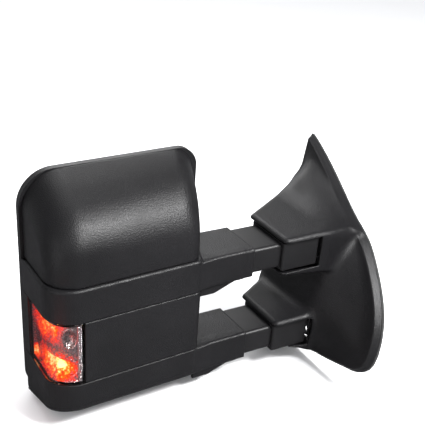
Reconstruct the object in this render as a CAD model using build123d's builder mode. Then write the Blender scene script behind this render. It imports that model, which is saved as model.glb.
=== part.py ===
from build123d import *
import os
from math import cos, radians, sin, sqrt

# Right-hand telescoping, folding, power tow mirror: a base on the door, two arms and a head.
# Frame: origin at the centre of the three mounting studs on the door plane, +X towards the vehicle,
# -Y towards the front of the vehicle, +Z up. All sizes in mm.
# Each piece is a function named after its file; the files are written at the end.

os.makedirs("parts", exist_ok=True)

# ------------------------------------------------------------------ driving dimensions
door_lean = 20.0             # lean of the door plane, degrees
stud_circle = 120.0          # diameter of the circle of three studs in the door plane
stud_turn = 6.4              # turn of the stud pattern, degrees
gasket_t = 4.0
wall = 2.6                   # moulded covers and shells

arm_z = 61.5                 # height of each arm axis above and below the origin
ARMS = {"upper": arm_z, "lower": -arm_z}
tube_w, tube_h = 64.0, 34.0  # arm tube section (Y, Z)
tube_wall = 2.6
tube_in_x, tube_out_x = -98.0, -300.0
tube_bore_w, tube_bore_h = tube_w - 2 * tube_wall, tube_h - 2 * tube_wall
sleeve_w, sleeve_h = 70.0, 40.0
sleeve_bore_w, sleeve_bore_h = 66.6, 36.6
sleeve_in_x, sleeve_out_x = -151.5, -333.0
slide_gap = 0.08             # running gap between a tube and its bushes
stop_x = -185.0              # travel-stop screws

fold_x = -75.0               # vertical fold axis
pin_r = 6.0
barrel_r = 31.5
block_h, block_w = 38.0, 74.0
block_out_x = -110.0
cheek_x = -54.0              # the block's front cheek runs on past the fold axis to here

head_out, head_in = -419.0, -193.0   # outboard side; inboard side at the rear rim
head_bottom, head_top = -112.0, 193.0
head_in_front = -228.0               # inboard side at the front
front_y_out, front_y_in = -49.5, -40.0
shell_y = 50.0                       # the shells end here and the bezel starts
rim_y = 64.0                         # rear rim plane
frame_front_y, frame_rear_y = 35.1, 38.0     # head frame plate
# fixings of the frame to the sleeves and the front panel, as (x, z)
fixing_out_x, fixing_in_x = -339, -246
FRAME_SCREWS = [(x, z) for z in (arm_z, -arm_z, 0) for x in (fixing_out_x, fixing_in_x)]

lean_cos, lean_sin = cos(radians(door_lean)), sin(radians(door_lean))
INBOARD = (lean_cos, 0, -lean_sin)   # square to the door, towards the vehicle
inboard_axis = Axis((0, 0, 0), INBOARD)


# ------------------------------------------------------------------ planes and outlines
def door(distance):
    """Plane parallel to the door, `distance` outboard of it: local x forward (-Y), y up the door."""
    normal = (-lean_cos, 0, lean_sin)
    return Plane(origin=(normal[0] * distance, 0, normal[2] * distance), x_dir=(0, -1, 0),
                 z_dir=normal)


def row(y):
    """Plane facing forwards at y, with local x along X and local y along Z."""
    return Plane(origin=(0, y, 0), x_dir=(1, 0, 0), z_dir=(0, -1, 0))


def rearward(x, y, z):
    """Plane facing rearwards through a point."""
    return Plane(origin=(x, y, z), x_dir=(1, 0, 0), z_dir=(0, 1, 0))


def door_points(points):
    """Door-plane sketch coordinates of (y, z) points."""
    return [(-y, z / lean_cos) for y, z in points]


def stud_places():
    return PolarLocations(stud_circle / 2, 3, start_angle=30 + stud_turn)


def inset(points, distance):
    """Closed polygon moved inwards by `distance`."""
    count = len(points)
    area = sum(points[i][0] * points[(i + 1) % count][1] - points[(i + 1) % count][0] * points[i][1]
               for i in range(count))
    side = 1.0 if area > 0 else -1.0

    def normal(start, end):
        along_x, along_y = end[0] - start[0], end[1] - start[1]
        length = sqrt(along_x ** 2 + along_y ** 2)
        return -along_y / length * side, along_x / length * side

    moved = []
    for i, corner in enumerate(points):
        before = normal(points[i - 1], corner)
        after = normal(corner, points[(i + 1) % count])
        mitre_x, mitre_y = before[0] + after[0], before[1] + after[1]
        scale = 2.0 * distance / (mitre_x * mitre_x + mitre_y * mitre_y)
        moved.append((corner[0] + mitre_x * scale, corner[1] + mitre_y * scale))
    return moved


def polygon(points):
    """Polygon face on the XY plane, to be added to a sketch."""
    with BuildSketch() as sketch:
        with BuildLine():
            Polyline(*points, close=True)
        make_face()
    return sketch.sketch


def rounded_face(outline, grow):
    """Face of an outline (corners, radii) grown by `grow` (negative shrinks), corners rounded."""
    corners, radii = outline
    corners = inset(corners, -grow)
    with BuildSketch() as sketch:
        add(polygon(corners))
        for (x, y), radius in zip(corners, radii):
            corner = sketch.vertices().sort_by_distance((x, y, 0))[0]
            fillet(corner, radius=max(radius + grow, 0.8))
    return sketch.sketch


def swept_cable(points, tangents, radius):
    """Round cable along a spline."""
    with BuildPart() as cable:
        with BuildLine() as path:
            Spline(*points, tangents=tangents)
        with BuildSketch(Plane(origin=path.wires()[0] @ 0, z_dir=path.wires()[0] % 0)):
            Circle(radius)
        sweep()
    return cable.part


# ------------------------------------------------------------------ base: cover
# sail outline as (y, z) on the door plane: tip, front edge, lower front corner, bottom, rear edge
SAIL = [(137, 149), (89, 130), (33, 103), (-10, 82), (-47, 66), (-77, 45), (-103, 22), (-121, 2),
        (-136, -23), (-144, -50), (-142.5, -68), (-128, -82), (-101, -89), (-63, -97), (-27, -102),
        (50, -106), (94, -107), (107, -98), (113, -40), (117, 40), (120, 80), (126, 108)]
# outline of the raised web between the hoods, point for point with the sail outline
WEB = [(90, 92), (72, 90), (40, 86), (14, 80), (-6, 70), (-20, 52), (-27, 34), (-30, 14),
       (-32, -10), (-32, -34), (-31, -56), (-27, -74), (-16, -84), (0, -88), (16, -90),
       (50, -92), (74, -92), (82, -86), (86, -40), (88, 30), (89, 62), (90, 80)]
smooth_count = 15            # the first points, tip to bottom, lie on one smooth curve

# plans of the hoods as (x, y): straight front, square outboard end, slanting rear wall
# the upper hood's front falls back so that it stays behind the sail's front edge
UPPER_HOOD = [(-112.0, -42.0), (-46.0, -42.0), (-20.0, -33.0), (28.0, 14.0), (28.0, 119.0),
              (14.0, 119.0), (-112.0, 43.5)]
LOWER_HOOD = [(-112.0, -42.0), (26.0, -42.0), (26.0, 119.0), (14.0, 119.0), (-112.0, 43.5)]
window_half = 21.0           # half height of the openings for the pivot blocks

COVER_SCREWS = ((104, -30), (62, -72), (-94, 58), (-84, -32))      # in door-plane coordinates
plate_in, plate_out = gasket_t + 0.4, gasket_t + 4.4     # bracket plate between these distances


def smooth_face(outline, plane, distance):
    """Face of a (y, z) outline, part curve and part straight, moved inwards by `distance`."""
    points = inset(door_points(outline), distance)
    with BuildSketch(plane) as sketch:
        with BuildLine():
            Spline(*points[:smooth_count])
            Polyline(*points[smooth_count - 1:], points[0])
        make_face()
    return sketch.sketch


def sail_face(height, distance):
    """Sail outline moved inwards by `distance`, `height` outboard of the door."""
    return smooth_face(SAIL, door(height), distance)


def hood(z, t):
    """Solid of one hood, moved inwards by t: flat top, underside falling towards the door."""
    plan = UPPER_HOOD if z > 0 else LOWER_HOOD
    with BuildPart() as solid:
        with BuildSketch(Plane.XY.offset(z - 60)):
            add(polygon(inset(plan, t)))
        extrude(amount=120)
        outer_end = solid.edges().filter_by(Axis.Z).group_by(Axis.X)[0]
        fillet(outer_end, radius=max(9.0 - t, 2.0))
        with BuildSketch(row(150)):
            add(polygon([(-130, z + 27 - t), (60, z + 27 - t), (60, z - 38 + t), (-40, z - 33 + t),
                         (-130, z - 22.4 + t)]))
        extrude(amount=300, mode=Mode.INTERSECT)
        top = solid.faces().sort_by(Axis.Z)[-1]
        fillet(top.edges().filter_by(lambda e: e.center().X < 20), radius=max(7.0 - t, 1.5))
    return solid.part


def mound(t):
    """Solid that swells from the sail out to the web between the hoods, moved inwards by t."""
    with BuildPart() as solid:
        add(sail_face(12.0 - t, 8 + t))
        add(smooth_face(WEB, door(42.0 - t), t))
        loft(ruled=True)
    return solid.part


def cover_cavity(extra=0.0):
    """Hollow inside of the base cover, moved inwards by a further `extra`."""
    with BuildPart() as cavity:
        add(sail_face(0.0, 3.2 + extra))
        add(sail_face(11.4, 9.2 + extra))
        loft(ruled=True)
        add(mound(wall + extra))
        for z in ARMS.values():
            add(hood(z, wall + extra))
    return cavity.part


def cover_outer():
    """Outside of the base cover as one solid."""
    with BuildPart() as outer:
        # bevelled rim of the sail
        add(sail_face(gasket_t, 0))
        add(sail_face(14.0, 6))
        loft(ruled=True)
        add(mound(0))
        for z in ARMS.values():
            add(hood(z, 0))
        # everything inboard of the gasket plane is cut off
        with BuildSketch(door(gasket_t)):
            Rectangle(700, 700)
        extrude(amount=-250, mode=Mode.SUBTRACT)
    return outer.part


def cover_bosses():
    """Screw bosses that stand on the bracket plate and run to the skin of the cover."""
    with BuildPart() as bosses:
        with BuildSketch(door(plate_out + 0.2)), Locations(*COVER_SCREWS):
            Circle(4.4)
        extrude(amount=90)
        add(cover_outer(), mode=Mode.INTERSECT)
    return bosses.part


def base_cover():
    with BuildPart() as piece:
        add(cover_outer())
        add(cover_cavity(), mode=Mode.SUBTRACT)
        add(cover_bosses())
        with BuildSketch(door(plate_out - 1)), Locations(*COVER_SCREWS):
            Circle(2.05)
        extrude(amount=4.2, mode=Mode.SUBTRACT)
        # openings for the pivot blocks: outboard end, front and rear
        for z in ARMS.values():
            with BuildSketch(Plane.XY.offset(z - window_half)):
                add(polygon([(-150, -70), (cheek_x + 2.5, -70), (cheek_x + 2.5, 10), (-38, 20),
                             (-38, 110), (-150, 110)]))
                with Locations((fold_x, 0)):
                    Circle(barrel_r + 4)
            extrude(amount=2 * window_half, mode=Mode.SUBTRACT)
    return piece.part


# ------------------------------------------------------------------ base: gasket, bracket, studs
ear_below, ear_above = 22.0, 23.4    # outer faces of each pair of ears from the arm axis
ear_height = ear_below + ear_above
ear_r = 22.0
block_space = block_h / 2 + 0.3      # inner faces of the ears from the arm axis

# places in door-plane coordinates
grommet_at = (-40, -8.5)
harness_at = (-30, 16.0)
peg_at = (-88, 112)

stud_r = 4.0                 # plain shank of the M8 studs
shoulder_r = 5.0             # pressed into the bracket
thread_r = 3.95              # threaded end beyond the plain shank
shank_len, stud_len = 14.0, 24.0
nut_at = 15.2                # the nuts are run part-way onto the studs, clear of the door skin
nut_washer_t = 1.8


def door_gasket():
    with BuildPart() as piece:
        with BuildSketch(door(0)):
            add(door(0).to_local_coords(sail_face(0, 1.0)))
            add(door(0).to_local_coords(sail_face(0, 12.0)), mode=Mode.SUBTRACT)
        extrude(amount=gasket_t - 0.1)
    return piece.part


def ear(z_low, z_high):
    """Ear of the bracket from the plate to the fold axis."""
    with BuildPart() as solid:
        with BuildSketch(Plane.XY.offset(z_low)):
            with Locations((fold_x, 0)):
                Circle(ear_r)
            with Locations((fold_x + 60, 0)):
                Rectangle(120, 40)
            with Locations((fold_x, 0)):
                Circle(pin_r, mode=Mode.SUBTRACT)
        extrude(amount=z_high - z_low)
        with BuildSketch(door(plate_in + 0.5)):
            Rectangle(600, 600)
        extrude(amount=-250, mode=Mode.SUBTRACT)
    return solid.part


def base_bracket():
    with BuildPart() as piece:
        for z in ARMS.values():
            add(ear(z + block_space, z + ear_above))
            add(ear(z - ear_below, z - block_space))
            # rib joining the two ears inboard of the block barrel
            with BuildSketch(Plane.XY.offset(z - ear_below)):
                Rectangle(80, 40)
            extrude(amount=ear_height)
        # the ears stay inside the cover
        add(cover_cavity(0.5), mode=Mode.INTERSECT)
        add(sail_face(plate_in, 15))
        extrude(amount=plate_out - plate_in)
        # everything inboard of the plate is cut off
        with BuildSketch(door(plate_in)):
            Rectangle(700, 700)
        extrude(amount=-250, mode=Mode.SUBTRACT)
        # room for the pivot blocks, and bores for the fold pins
        for z in ARMS.values():
            with BuildSketch(Plane.XY.offset(z - block_space)), Locations((fold_x, 0)):
                Circle(44.0)
            extrude(amount=2 * block_space, mode=Mode.SUBTRACT)
            with BuildSketch(Plane.XY.offset(z - 30)), Locations((fold_x, 0)):
                Circle(pin_r)
            extrude(amount=60, mode=Mode.SUBTRACT)
        # three pads round the studs bear on the door
        with BuildSketch(door(0)), stud_places():
            Circle(11)
        extrude(amount=plate_out)
        with BuildSketch(door(-1)), stud_places():
            Circle(shoulder_r)
        extrude(amount=plate_out + 5, mode=Mode.SUBTRACT)
        with BuildSketch(door(plate_out)), stud_places():
            RegularPolygon(6.7, 6)
        extrude(amount=3.6, mode=Mode.SUBTRACT)
        # raised casting pad that enters the door opening
        with BuildSketch(door(-7)), Locations((0, 47)):
            RectangleRounded(42, 28, 6)
        extrude(amount=7 + plate_out)
        # openings for the grommet, the harness and the peg
        with BuildSketch(door(-20)):
            with Locations(grommet_at):
                Circle(9.0)
            with Locations(harness_at):
                Circle(3.4)
            with Locations(peg_at):
                Rectangle(9.0, 15.0)
        extrude(amount=60, mode=Mode.SUBTRACT)
        # lightening windows
        with BuildSketch(door(-20)):
            with Locations((62, -10)):
                RectangleRounded(34, 40, 5)
            with Locations((-74, -40)):
                RectangleRounded(26, 44, 5)
        extrude(amount=40, mode=Mode.SUBTRACT)
        # clearance holes for the cover screws
        with BuildSketch(door(-5)), Locations(*COVER_SCREWS):
            Circle(2.2)
        extrude(amount=60, mode=Mode.SUBTRACT)
    return piece.part


def mounting_studs():
    with BuildPart() as piece:
        for start, end, radius in ((plate_out + 3, 0, shoulder_r), (0, -shank_len, stud_r),
                                   (-shank_len, -stud_len, thread_r)):
            with BuildSketch(door(start)), stud_places():
                Circle(radius)
            extrude(amount=end - start)
        chamfer(piece.faces().sort_by(inboard_axis)[-3:].edges(), length=1.0)
        # hexagonal heads
        with BuildSketch(door(plate_out + 0.05)), stud_places():
            RegularPolygon(6.6, 6)
        extrude(amount=3.4)
    return piece.part


def stud_nuts():
    """Flanged nuts."""
    with BuildPart() as piece:
        with BuildSketch(door(-nut_at)), stud_places():
            Circle(8.6)
            Circle(thread_r + 0.05, mode=Mode.SUBTRACT)
        extrude(amount=-nut_washer_t)
        with BuildSketch(door(-nut_at - nut_washer_t)), stud_places():
            RegularPolygon(7.0, 6)
            Circle(thread_r + 0.05, mode=Mode.SUBTRACT)
        extrude(amount=-5.4)
    return piece.part


def locating_peg():
    peg_w, peg_h = 8.8, 14.8
    with BuildPart() as piece:
        with BuildSketch(door(plate_out - 0.1)), Locations(peg_at):
            Rectangle(peg_w, peg_h)
        extrude(amount=-(plate_out + 6))
        # head on the outboard face of the plate
        with BuildSketch(door(plate_out + 0.1)), Locations(peg_at):
            Rectangle(13, 19)
        extrude(amount=1.6)
        chamfer(piece.faces().sort_by(inboard_axis)[-1].edges(), length=1.6)
        # neck that joins the peg to its head
        with BuildSketch(door(plate_out - 0.2)), Locations(peg_at):
            Rectangle(peg_w, peg_h)
        extrude(amount=0.5)
    return piece.part


def harness_grommet():
    """Ribbed tube through the bracket, with its ribs on the door side."""
    tube_r, bore_r = 8.8, 4.6
    ribs_at, rib_pitch = -2.0, 4.2
    with BuildPart() as piece:
        with BuildSketch(door(plate_out + 2)), Locations(grommet_at):
            Circle(tube_r)
            Circle(bore_r, mode=Mode.SUBTRACT)
        extrude(amount=-(plate_out + 18))
        for k in range(4):
            with BuildSketch(door(ribs_at - rib_pitch * k)), Locations(grommet_at):
                Circle(11.5 - 0.5 * k)
                Circle(7.0, mode=Mode.SUBTRACT)
            extrude(amount=-2.6)
        # inboard end of the tube, on past the last rib
        with BuildSketch(door(ribs_at)), Locations(grommet_at):
            Circle(tube_r)
            Circle(bore_r, mode=Mode.SUBTRACT)
        extrude(amount=-16)
    return piece.part


connector_x, connector_y, connector_z = 10.0, 32, -47


def door_harness():
    """Loop from the bracket through the door to the connector."""
    start = door(plate_out + 4).from_local_coords((*harness_at, 0))
    points = [(start.X, start.Y, start.Z),
              (start.X + 22 * INBOARD[0], start.Y, start.Z + 22 * INBOARD[2]),
              (54, 32, 3), (84, 32, -6), (92, 32, -20), (80, 32, -38), (56, 32, -46),
              (34, connector_y, connector_z)]
    return swept_cable(points, tangents=(INBOARD, (-1, 0, 0.05)), radius=3.0)


def harness_connector():
    centre = (connector_y, connector_z)
    with BuildPart() as piece:
        with BuildSketch(Plane.YZ.offset(connector_x)), Locations(centre):
            RectangleRounded(22, 15, 2)
        extrude(amount=25)
        with BuildSketch(Plane.YZ.offset(connector_x)), Locations(centre):
            RectangleRounded(18, 11, 1.2)
        extrude(amount=12, mode=Mode.SUBTRACT)
        # collar round the cable
        with BuildSketch(Plane.YZ.offset(connector_x + 24.95)), Locations(centre):
            RectangleRounded(13, 10, 2)
            Circle(3.6, mode=Mode.SUBTRACT)
        extrude(amount=5)
        with BuildSketch(Plane.YZ.offset(connector_x + 23.6)), Locations(centre):
            Circle(3.6)
        extrude(amount=2, mode=Mode.SUBTRACT)
        # block on the top face
        with Locations((connector_x + 12, connector_y, connector_z + 8)):
            Box(14, 7, 3)
    return piece.part


def cover_screws():
    """Each screw: head with a round recess, shank running into its boss."""
    with BuildPart() as piece:
        with BuildSketch(door(plate_in - 0.1)), Locations(*COVER_SCREWS):
            Circle(4.2)
        extrude(amount=-2.6)
        with BuildSketch(door(plate_in - 1.3)), Locations(*COVER_SCREWS):
            Circle(1.6)
        extrude(amount=-2, mode=Mode.SUBTRACT)
        with BuildSketch(door(plate_in - 0.2)), Locations(*COVER_SCREWS):
            Circle(2.0)
        extrude(amount=5.4)
    return piece.part


# ------------------------------------------------------------------ base: fold pins and springs
def fold_pin(z):
    """Hollow pin through both ears and the block."""
    with BuildPart() as piece:
        with BuildSketch(Plane.XY.offset(z - ear_below)), Locations((fold_x, 0)):
            Circle(pin_r)
            Circle(3.4, mode=Mode.SUBTRACT)
        extrude(amount=ear_height)
    return piece.part


def fold_spring(z):
    coils, wire, spring_r = 4, 2.2, 9.2
    z_low, z_high = z - 1.9 + wire / 2, z + block_h / 2 + 0.1 - wire / 2
    height = z_high - z_low
    with BuildPart() as piece:
        with BuildLine() as path:
            Helix(height / coils, height, spring_r, center=(fold_x, 0, z_low))
        with BuildSketch(Plane(origin=path.wires()[0] @ 0, z_dir=path.wires()[0] % 0)):
            Circle(wire / 2)
        sweep(is_frenet=True)
    return piece.part


def friction_washer(z):
    """Washer with six slots under the block."""
    with BuildPart() as piece:
        with BuildSketch(Plane.XY.offset(z - block_h / 2 - 0.25)), Locations((fold_x, 0)):
            Circle(16)
            Circle(pin_r + 0.05, mode=Mode.SUBTRACT)
            with PolarLocations(11.5, 6):
                SlotOverall(5, 2.4, mode=Mode.SUBTRACT)
        extrude(amount=2.2)
    return piece.part


# ------------------------------------------------------------------ arms
spigot_w, spigot_h = tube_bore_w - 0.2, tube_bore_h - 0.2
slot_in_x, slot_out_x = -145.5, -252.5       # travel of the stop screw along the tube
plug_hole = (36, 14, 4)                      # width, height and corner radius


def pivot_block(z):
    bottom = z - block_h / 2
    with BuildPart() as piece:
        with BuildSketch(Plane.XY.offset(bottom)):
            with Locations((fold_x, 0)):
                Circle(barrel_r)
            with Locations(((block_out_x + fold_x) / 2, 0)):
                RectangleRounded(fold_x - block_out_x, block_w, 3)
            with Locations((fold_x - 8, 0)):
                Rectangle(16, block_w - 2)
            with Locations((fold_x + 6, 0)):
                Rectangle(12, 2 * barrel_r - 3)
            # front cheek
            with Locations(((fold_x - 10 + cheek_x) / 2, -(block_w / 2 + 18) / 2)):
                RectangleRounded(cheek_x - fold_x + 10, block_w / 2 - 18, 3)
        extrude(amount=block_h)
        # spigot inside the tube
        with BuildSketch(Plane.YZ.offset(block_out_x + 2)), Locations((0, z)):
            RectangleRounded(spigot_w, spigot_h, 3)
        extrude(amount=-28)
        # socket for the tube end
        with BuildSketch(Plane.YZ.offset(tube_in_x)), Locations((0, z)):
            RectangleRounded(tube_w + 0.1, tube_h + 0.1, 5.05)
            RectangleRounded(spigot_w, spigot_h, 3, mode=Mode.SUBTRACT)
        extrude(amount=-30, mode=Mode.SUBTRACT)
        # bore for the fold pin, spring pocket above, washer pocket below
        for z_low, radius, height in ((z - 25, pin_r + 0.05, 50), (z - 2, 12, 30),
                                      (bottom - 1, 16.5, 3.2)):
            with BuildSketch(Plane.XY.offset(z_low)), Locations((fold_x, 0)):
                Circle(radius)
            extrude(amount=height, mode=Mode.SUBTRACT)
        # wire way from the tube to the spring pocket
        with BuildSketch(Plane.YZ.offset(fold_x - 9)), Locations((0, z + 4)):
            Circle(4.0)
        extrude(amount=-60, mode=Mode.SUBTRACT)
    return piece.part


def arm_tube(z):
    with BuildPart() as piece:
        with BuildSketch(Plane.YZ.offset(tube_in_x)), Locations((0, z)):
            RectangleRounded(tube_w, tube_h, 5)
            RectangleRounded(tube_bore_w, tube_bore_h, 2.8, mode=Mode.SUBTRACT)
        extrude(amount=tube_out_x - tube_in_x)
        # slot that the travel-stop screw runs in
        with BuildSketch(Plane.XY.offset(z - tube_h / 2 - 1)):
            with Locations(((slot_in_x + slot_out_x) / 2, 0)):
                SlotOverall(slot_in_x - slot_out_x + 3.0, 7.0)
        extrude(amount=tube_wall + 2, mode=Mode.SUBTRACT)
    return piece.part


def tube_plugs():
    """Both plugs in the outboard tube ends: a flange and a body inside the tube."""
    with BuildPart() as piece:
        for z in ARMS.values():
            with BuildSketch(Plane.YZ.offset(tube_out_x)), Locations((0, z)):
                RectangleRounded(tube_w - 0.4, tube_h - 0.4, 4.8)
                RectangleRounded(*plug_hole, mode=Mode.SUBTRACT)
            extrude(amount=-2.0)
            with BuildSketch(Plane.YZ.offset(tube_out_x)), Locations((0, z)):
                RectangleRounded(tube_bore_w - 0.1, tube_bore_h - 0.1, 2.8)
                RectangleRounded(*plug_hole, mode=Mode.SUBTRACT)
            extrude(amount=12)
    return piece.part


def arm_cable():
    """Cable through the upper arm."""
    points = [(-99, 0, arm_z + 4), (-130, 0, arm_z + 4), (-170, 4, arm_z + 1), (-215, -5, arm_z),
              (-260, 4, arm_z), (-290, 0, arm_z)]
    return swept_cable(points, tangents=((-1, 0, 0), (-1, 0, 0)), radius=3.0)


# ------------------------------------------------------------------ head: bands
panel_bottom, panel_top = -41.0, 41.1
panel_h = panel_top - panel_bottom
upper_band_bottom, upper_band_top = 41.4, 82.0
lower_band_top = -41.3
cap_bottom = 84.6
cap_step = 3.6               # the cap stands back from the band below it


def head_plan(t, y_rear, r_out=34.0, r_in=10.0):
    """Plan outline of the head moved inwards by t and cut off at y_rear."""
    slope = (head_in - head_in_front) / (rim_y - front_y_in)
    y_far = 120.0
    x_far = head_in + (y_far - rim_y) * slope
    with BuildSketch() as sketch:
        add(polygon([(x_far, y_far), (head_in_front, front_y_in), (head_out, front_y_out),
                     (head_out, y_far)]))
        front = sketch.vertices().filter_by(lambda v: v.Y < 0).sort_by(Axis.X)
        fillet(front[0], radius=r_out)
        front = sketch.vertices().filter_by(lambda v: v.Y < -20).sort_by(Axis.X)
        fillet(front[-1], radius=r_in)
        if t:
            offset(amount=-t)
        with Locations((-300, y_rear + 150)):
            Rectangle(500, 300, mode=Mode.SUBTRACT)
    return sketch.sketch


def shell_ring(z_low, z_high):
    """Wall of the head between two heights: front, outboard side and inboard side."""
    with BuildPart() as ring:
        with BuildSketch(Plane.XY.offset(z_low)):
            add(head_plan(0, shell_y))
            add(head_plan(wall, shell_y + 40), mode=Mode.SUBTRACT)
        extrude(amount=z_high - z_low)
    return ring.part


def sleeve_solid(z):
    """Outer shape of one sleeve with its gusset under the root."""
    with BuildPart() as solid:
        with BuildSketch(Plane.YZ.offset(sleeve_in_x)), Locations((0, z)):
            RectangleRounded(sleeve_w, sleeve_h, 4)
        extrude(amount=sleeve_out_x - sleeve_in_x)
        chamfer(solid.faces().sort_by(Axis.X)[-1].edges(), length=1.0)
        with BuildSketch(row(31)):
            add(polygon([(-158, z - 17), (-170, z - 20), (-196, z - 30), (-204, z - 33),
                         (-238, z - 33), (-238, z - 17)]))
        extrude(amount=62)
        # the front face runs out to meet the band
        with BuildSketch(Plane.XY.offset(z - 19.5)):
            add(polygon([(-165, -30), (-165, -35), (-205, -35.8), (-232, -39.5), (-232, -30)]))
        extrude(amount=39)
    return solid.part


def sleeve_bore(z):
    with BuildPart() as bore:
        with BuildSketch(Plane.YZ.offset(sleeve_in_x + 5)), Locations((0, z)):
            RectangleRounded(sleeve_bore_w, sleeve_bore_h, 3)
        extrude(amount=sleeve_out_x - sleeve_in_x - 10)
    return bore.part


def upper_sleeve():
    """Upper sleeve, cut clear of the panel under its band."""
    with BuildPart() as sleeve:
        add(sleeve_solid(arm_z))
        with BuildSketch(Plane.XY.offset(-60)):
            add(head_plan(-0.4, 90))
        extrude(amount=60 + upper_band_bottom, mode=Mode.SUBTRACT)
    return sleeve.part


def lower_sleeve():
    """Lower sleeve, with nothing hanging under it inside the head."""
    with BuildPart() as sleeve:
        add(sleeve_solid(-arm_z))
        with BuildSketch(Plane.XY.offset(-130)):
            add(head_plan(wall + 0.5, 90))
        extrude(amount=130 - arm_z - sleeve_h / 2, mode=Mode.SUBTRACT)
    return sleeve.part


def bore_and_drill(body, sleeve, z):
    """Band body with its sleeve added, bored for the bushes, and with its two screw holes."""
    with BuildPart() as piece:
        add(body)
        add(sleeve)
        add(sleeve_bore(z), mode=Mode.SUBTRACT)
        with Locations((stop_x, 0, z - sleeve_h / 2)):
            Cylinder(3.0, 30, mode=Mode.SUBTRACT)
        with Locations((fixing_in_x, 34, z)):
            Cylinder(1.8, 8, rotation=(90, 0, 0), mode=Mode.SUBTRACT)
    return piece.part


def upper_band():
    with BuildPart() as body:
        add(shell_ring(upper_band_bottom, upper_band_top))
        # ledge under the cap
        with BuildSketch(Plane.XY.offset(upper_band_top - 0.01)):
            add(head_plan(0, shell_y))
            add(head_plan(cap_step + 3.4, shell_y + 40), mode=Mode.SUBTRACT)
        extrude(amount=2.4, taper=45)
    return bore_and_drill(body.part, upper_sleeve(), arm_z)


def lower_band_solid(t, y_rear):
    """Lower band filled in, moved inwards by t: upright front, underside falling to the rear."""
    profile = [(-70, -23), (-70, -81 + t), (-44, -81 + t), (shell_y, -107.5 + t),
               (shell_y + 40, -118 + t), (shell_y + 40, -23)]
    # the cavity is as open at the top as the band
    with BuildPart() as solid:
        with BuildSketch(Plane.XY.offset(-130)):
            add(head_plan(t, y_rear))
        extrude(amount=130 + lower_band_top + (10 if t else 0))
        with BuildSketch(Plane.YZ.offset(-500)):
            add(polygon(profile))
        extrude(amount=400, mode=Mode.INTERSECT)
    return solid.part


def lower_band():
    with BuildPart() as body:
        add(lower_band_solid(0, shell_y))
        add(lower_band_solid(wall, shell_y + 30), mode=Mode.SUBTRACT)
    return bore_and_drill(body.part, lower_sleeve(), -arm_z)


# ------------------------------------------------------------------ head: front panel and lamp
# the lamp fills the outboard front corner between the bands, from lens_x round to lens_rear_y
lens_x, lens_rear_y = -381.0, 34.0

# each bowl: its place, the direction it faces, its radius
# the lower one faces the front corner, the upper one the side
BOWLS = (((-397.0, -22.0, -20.0), (-0.62, -0.78, 0.0), 19.0),
         ((-399.0, -8.0, 21.0), (-0.86, -0.51, 0.0), 17.5))
bowl_reach = 14.0            # from a bowl's place out to the centre of its sphere

board_x_dir, board_normal = (0.471, -0.882, 0), (0.882, 0.471, 0)


def front_panel():
    with BuildPart() as piece:
        add(shell_ring(panel_bottom, panel_top))
        with BuildSketch(Plane.XY.offset(panel_bottom - 5)):
            add(polygon([(lens_x + 0.3, -80), (lens_x + 0.3, 80), (-440, 80), (-440, -80)]))
        extrude(amount=panel_h + 10, mode=Mode.SUBTRACT)
        # ledge along the lamp edge and two screw bosses
        with BuildSketch(Plane.XY.offset(panel_bottom + 1)), Locations((lens_x + 3.0, -41)):
            Rectangle(3.0, 9)
        extrude(amount=panel_h - 2)
        for x, y in ((fixing_out_x, -44.0), (fixing_in_x, -39.6)):
            with BuildSketch(row(y)), Locations((x, 0)):
                Circle(4.5)
                Circle(1.8, mode=Mode.SUBTRACT)
            extrude(amount=-(frame_front_y - 0.1 - y))
    return piece.part


def signal_lens():
    """Lens that follows the corner of the head."""
    with BuildPart() as piece:
        with BuildSketch(Plane.XY.offset(panel_bottom)):
            add(head_plan(0.2, lens_rear_y))
            add(head_plan(2.4, lens_rear_y + 60), mode=Mode.SUBTRACT)
            with Locations((lens_x + 150, 0)):
                Rectangle(300, 400, mode=Mode.SUBTRACT)
        extrude(amount=panel_h)
        # flange inside the edge next to the panel
        with Locations((lens_x - 1.1, -42.0, (panel_bottom + panel_top) / 2)):
            Box(2.2, 9.0, panel_h)
    return piece.part


def signal_reflector():
    with BuildPart() as piece:
        with BuildSketch(Plane.XY.offset(panel_bottom + 1.2)):
            add(polygon([(lens_x - 3, -43.0), (lens_x - 12, -43.0), (-411.5, -24), (-413.5, 0),
                         (-413.5, 32), (-404, 32), (-388, 2), (lens_x - 3, -16)]))
        extrude(amount=panel_h - 2.4)
        for (x, y, z), facing, radius in BOWLS:
            with Locations((x + facing[0] * bowl_reach, y + facing[1] * bowl_reach, z)):
                Sphere(radius, mode=Mode.SUBTRACT)
    return piece.part


def bulb_plane(bowl, distance):
    """Plane square to a bowl's direction, `distance` out from the bottom of the bowl."""
    (x, y, z), facing, radius = bowl
    reach = bowl_reach - radius + distance
    return Plane(origin=(x + facing[0] * reach, y + facing[1] * reach, z), z_dir=facing)


def signal_bulbs():
    """Each bulb: collar, straight body and tapered tip."""
    with BuildPart() as piece:
        for bowl in BOWLS:
            with BuildSketch(bulb_plane(bowl, 0.5)):
                Circle(4.2)
            extrude(amount=2.5)
            with BuildSketch(bulb_plane(bowl, 2.9)):
                Circle(3.6)
            extrude(amount=3.6)
            with BuildSketch(bulb_plane(bowl, 6.4)):
                Circle(3.6)
            with BuildSketch(bulb_plane(bowl, 8.6)):
                Circle(1.6)
            loft(ruled=True)
    return piece.part


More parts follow.
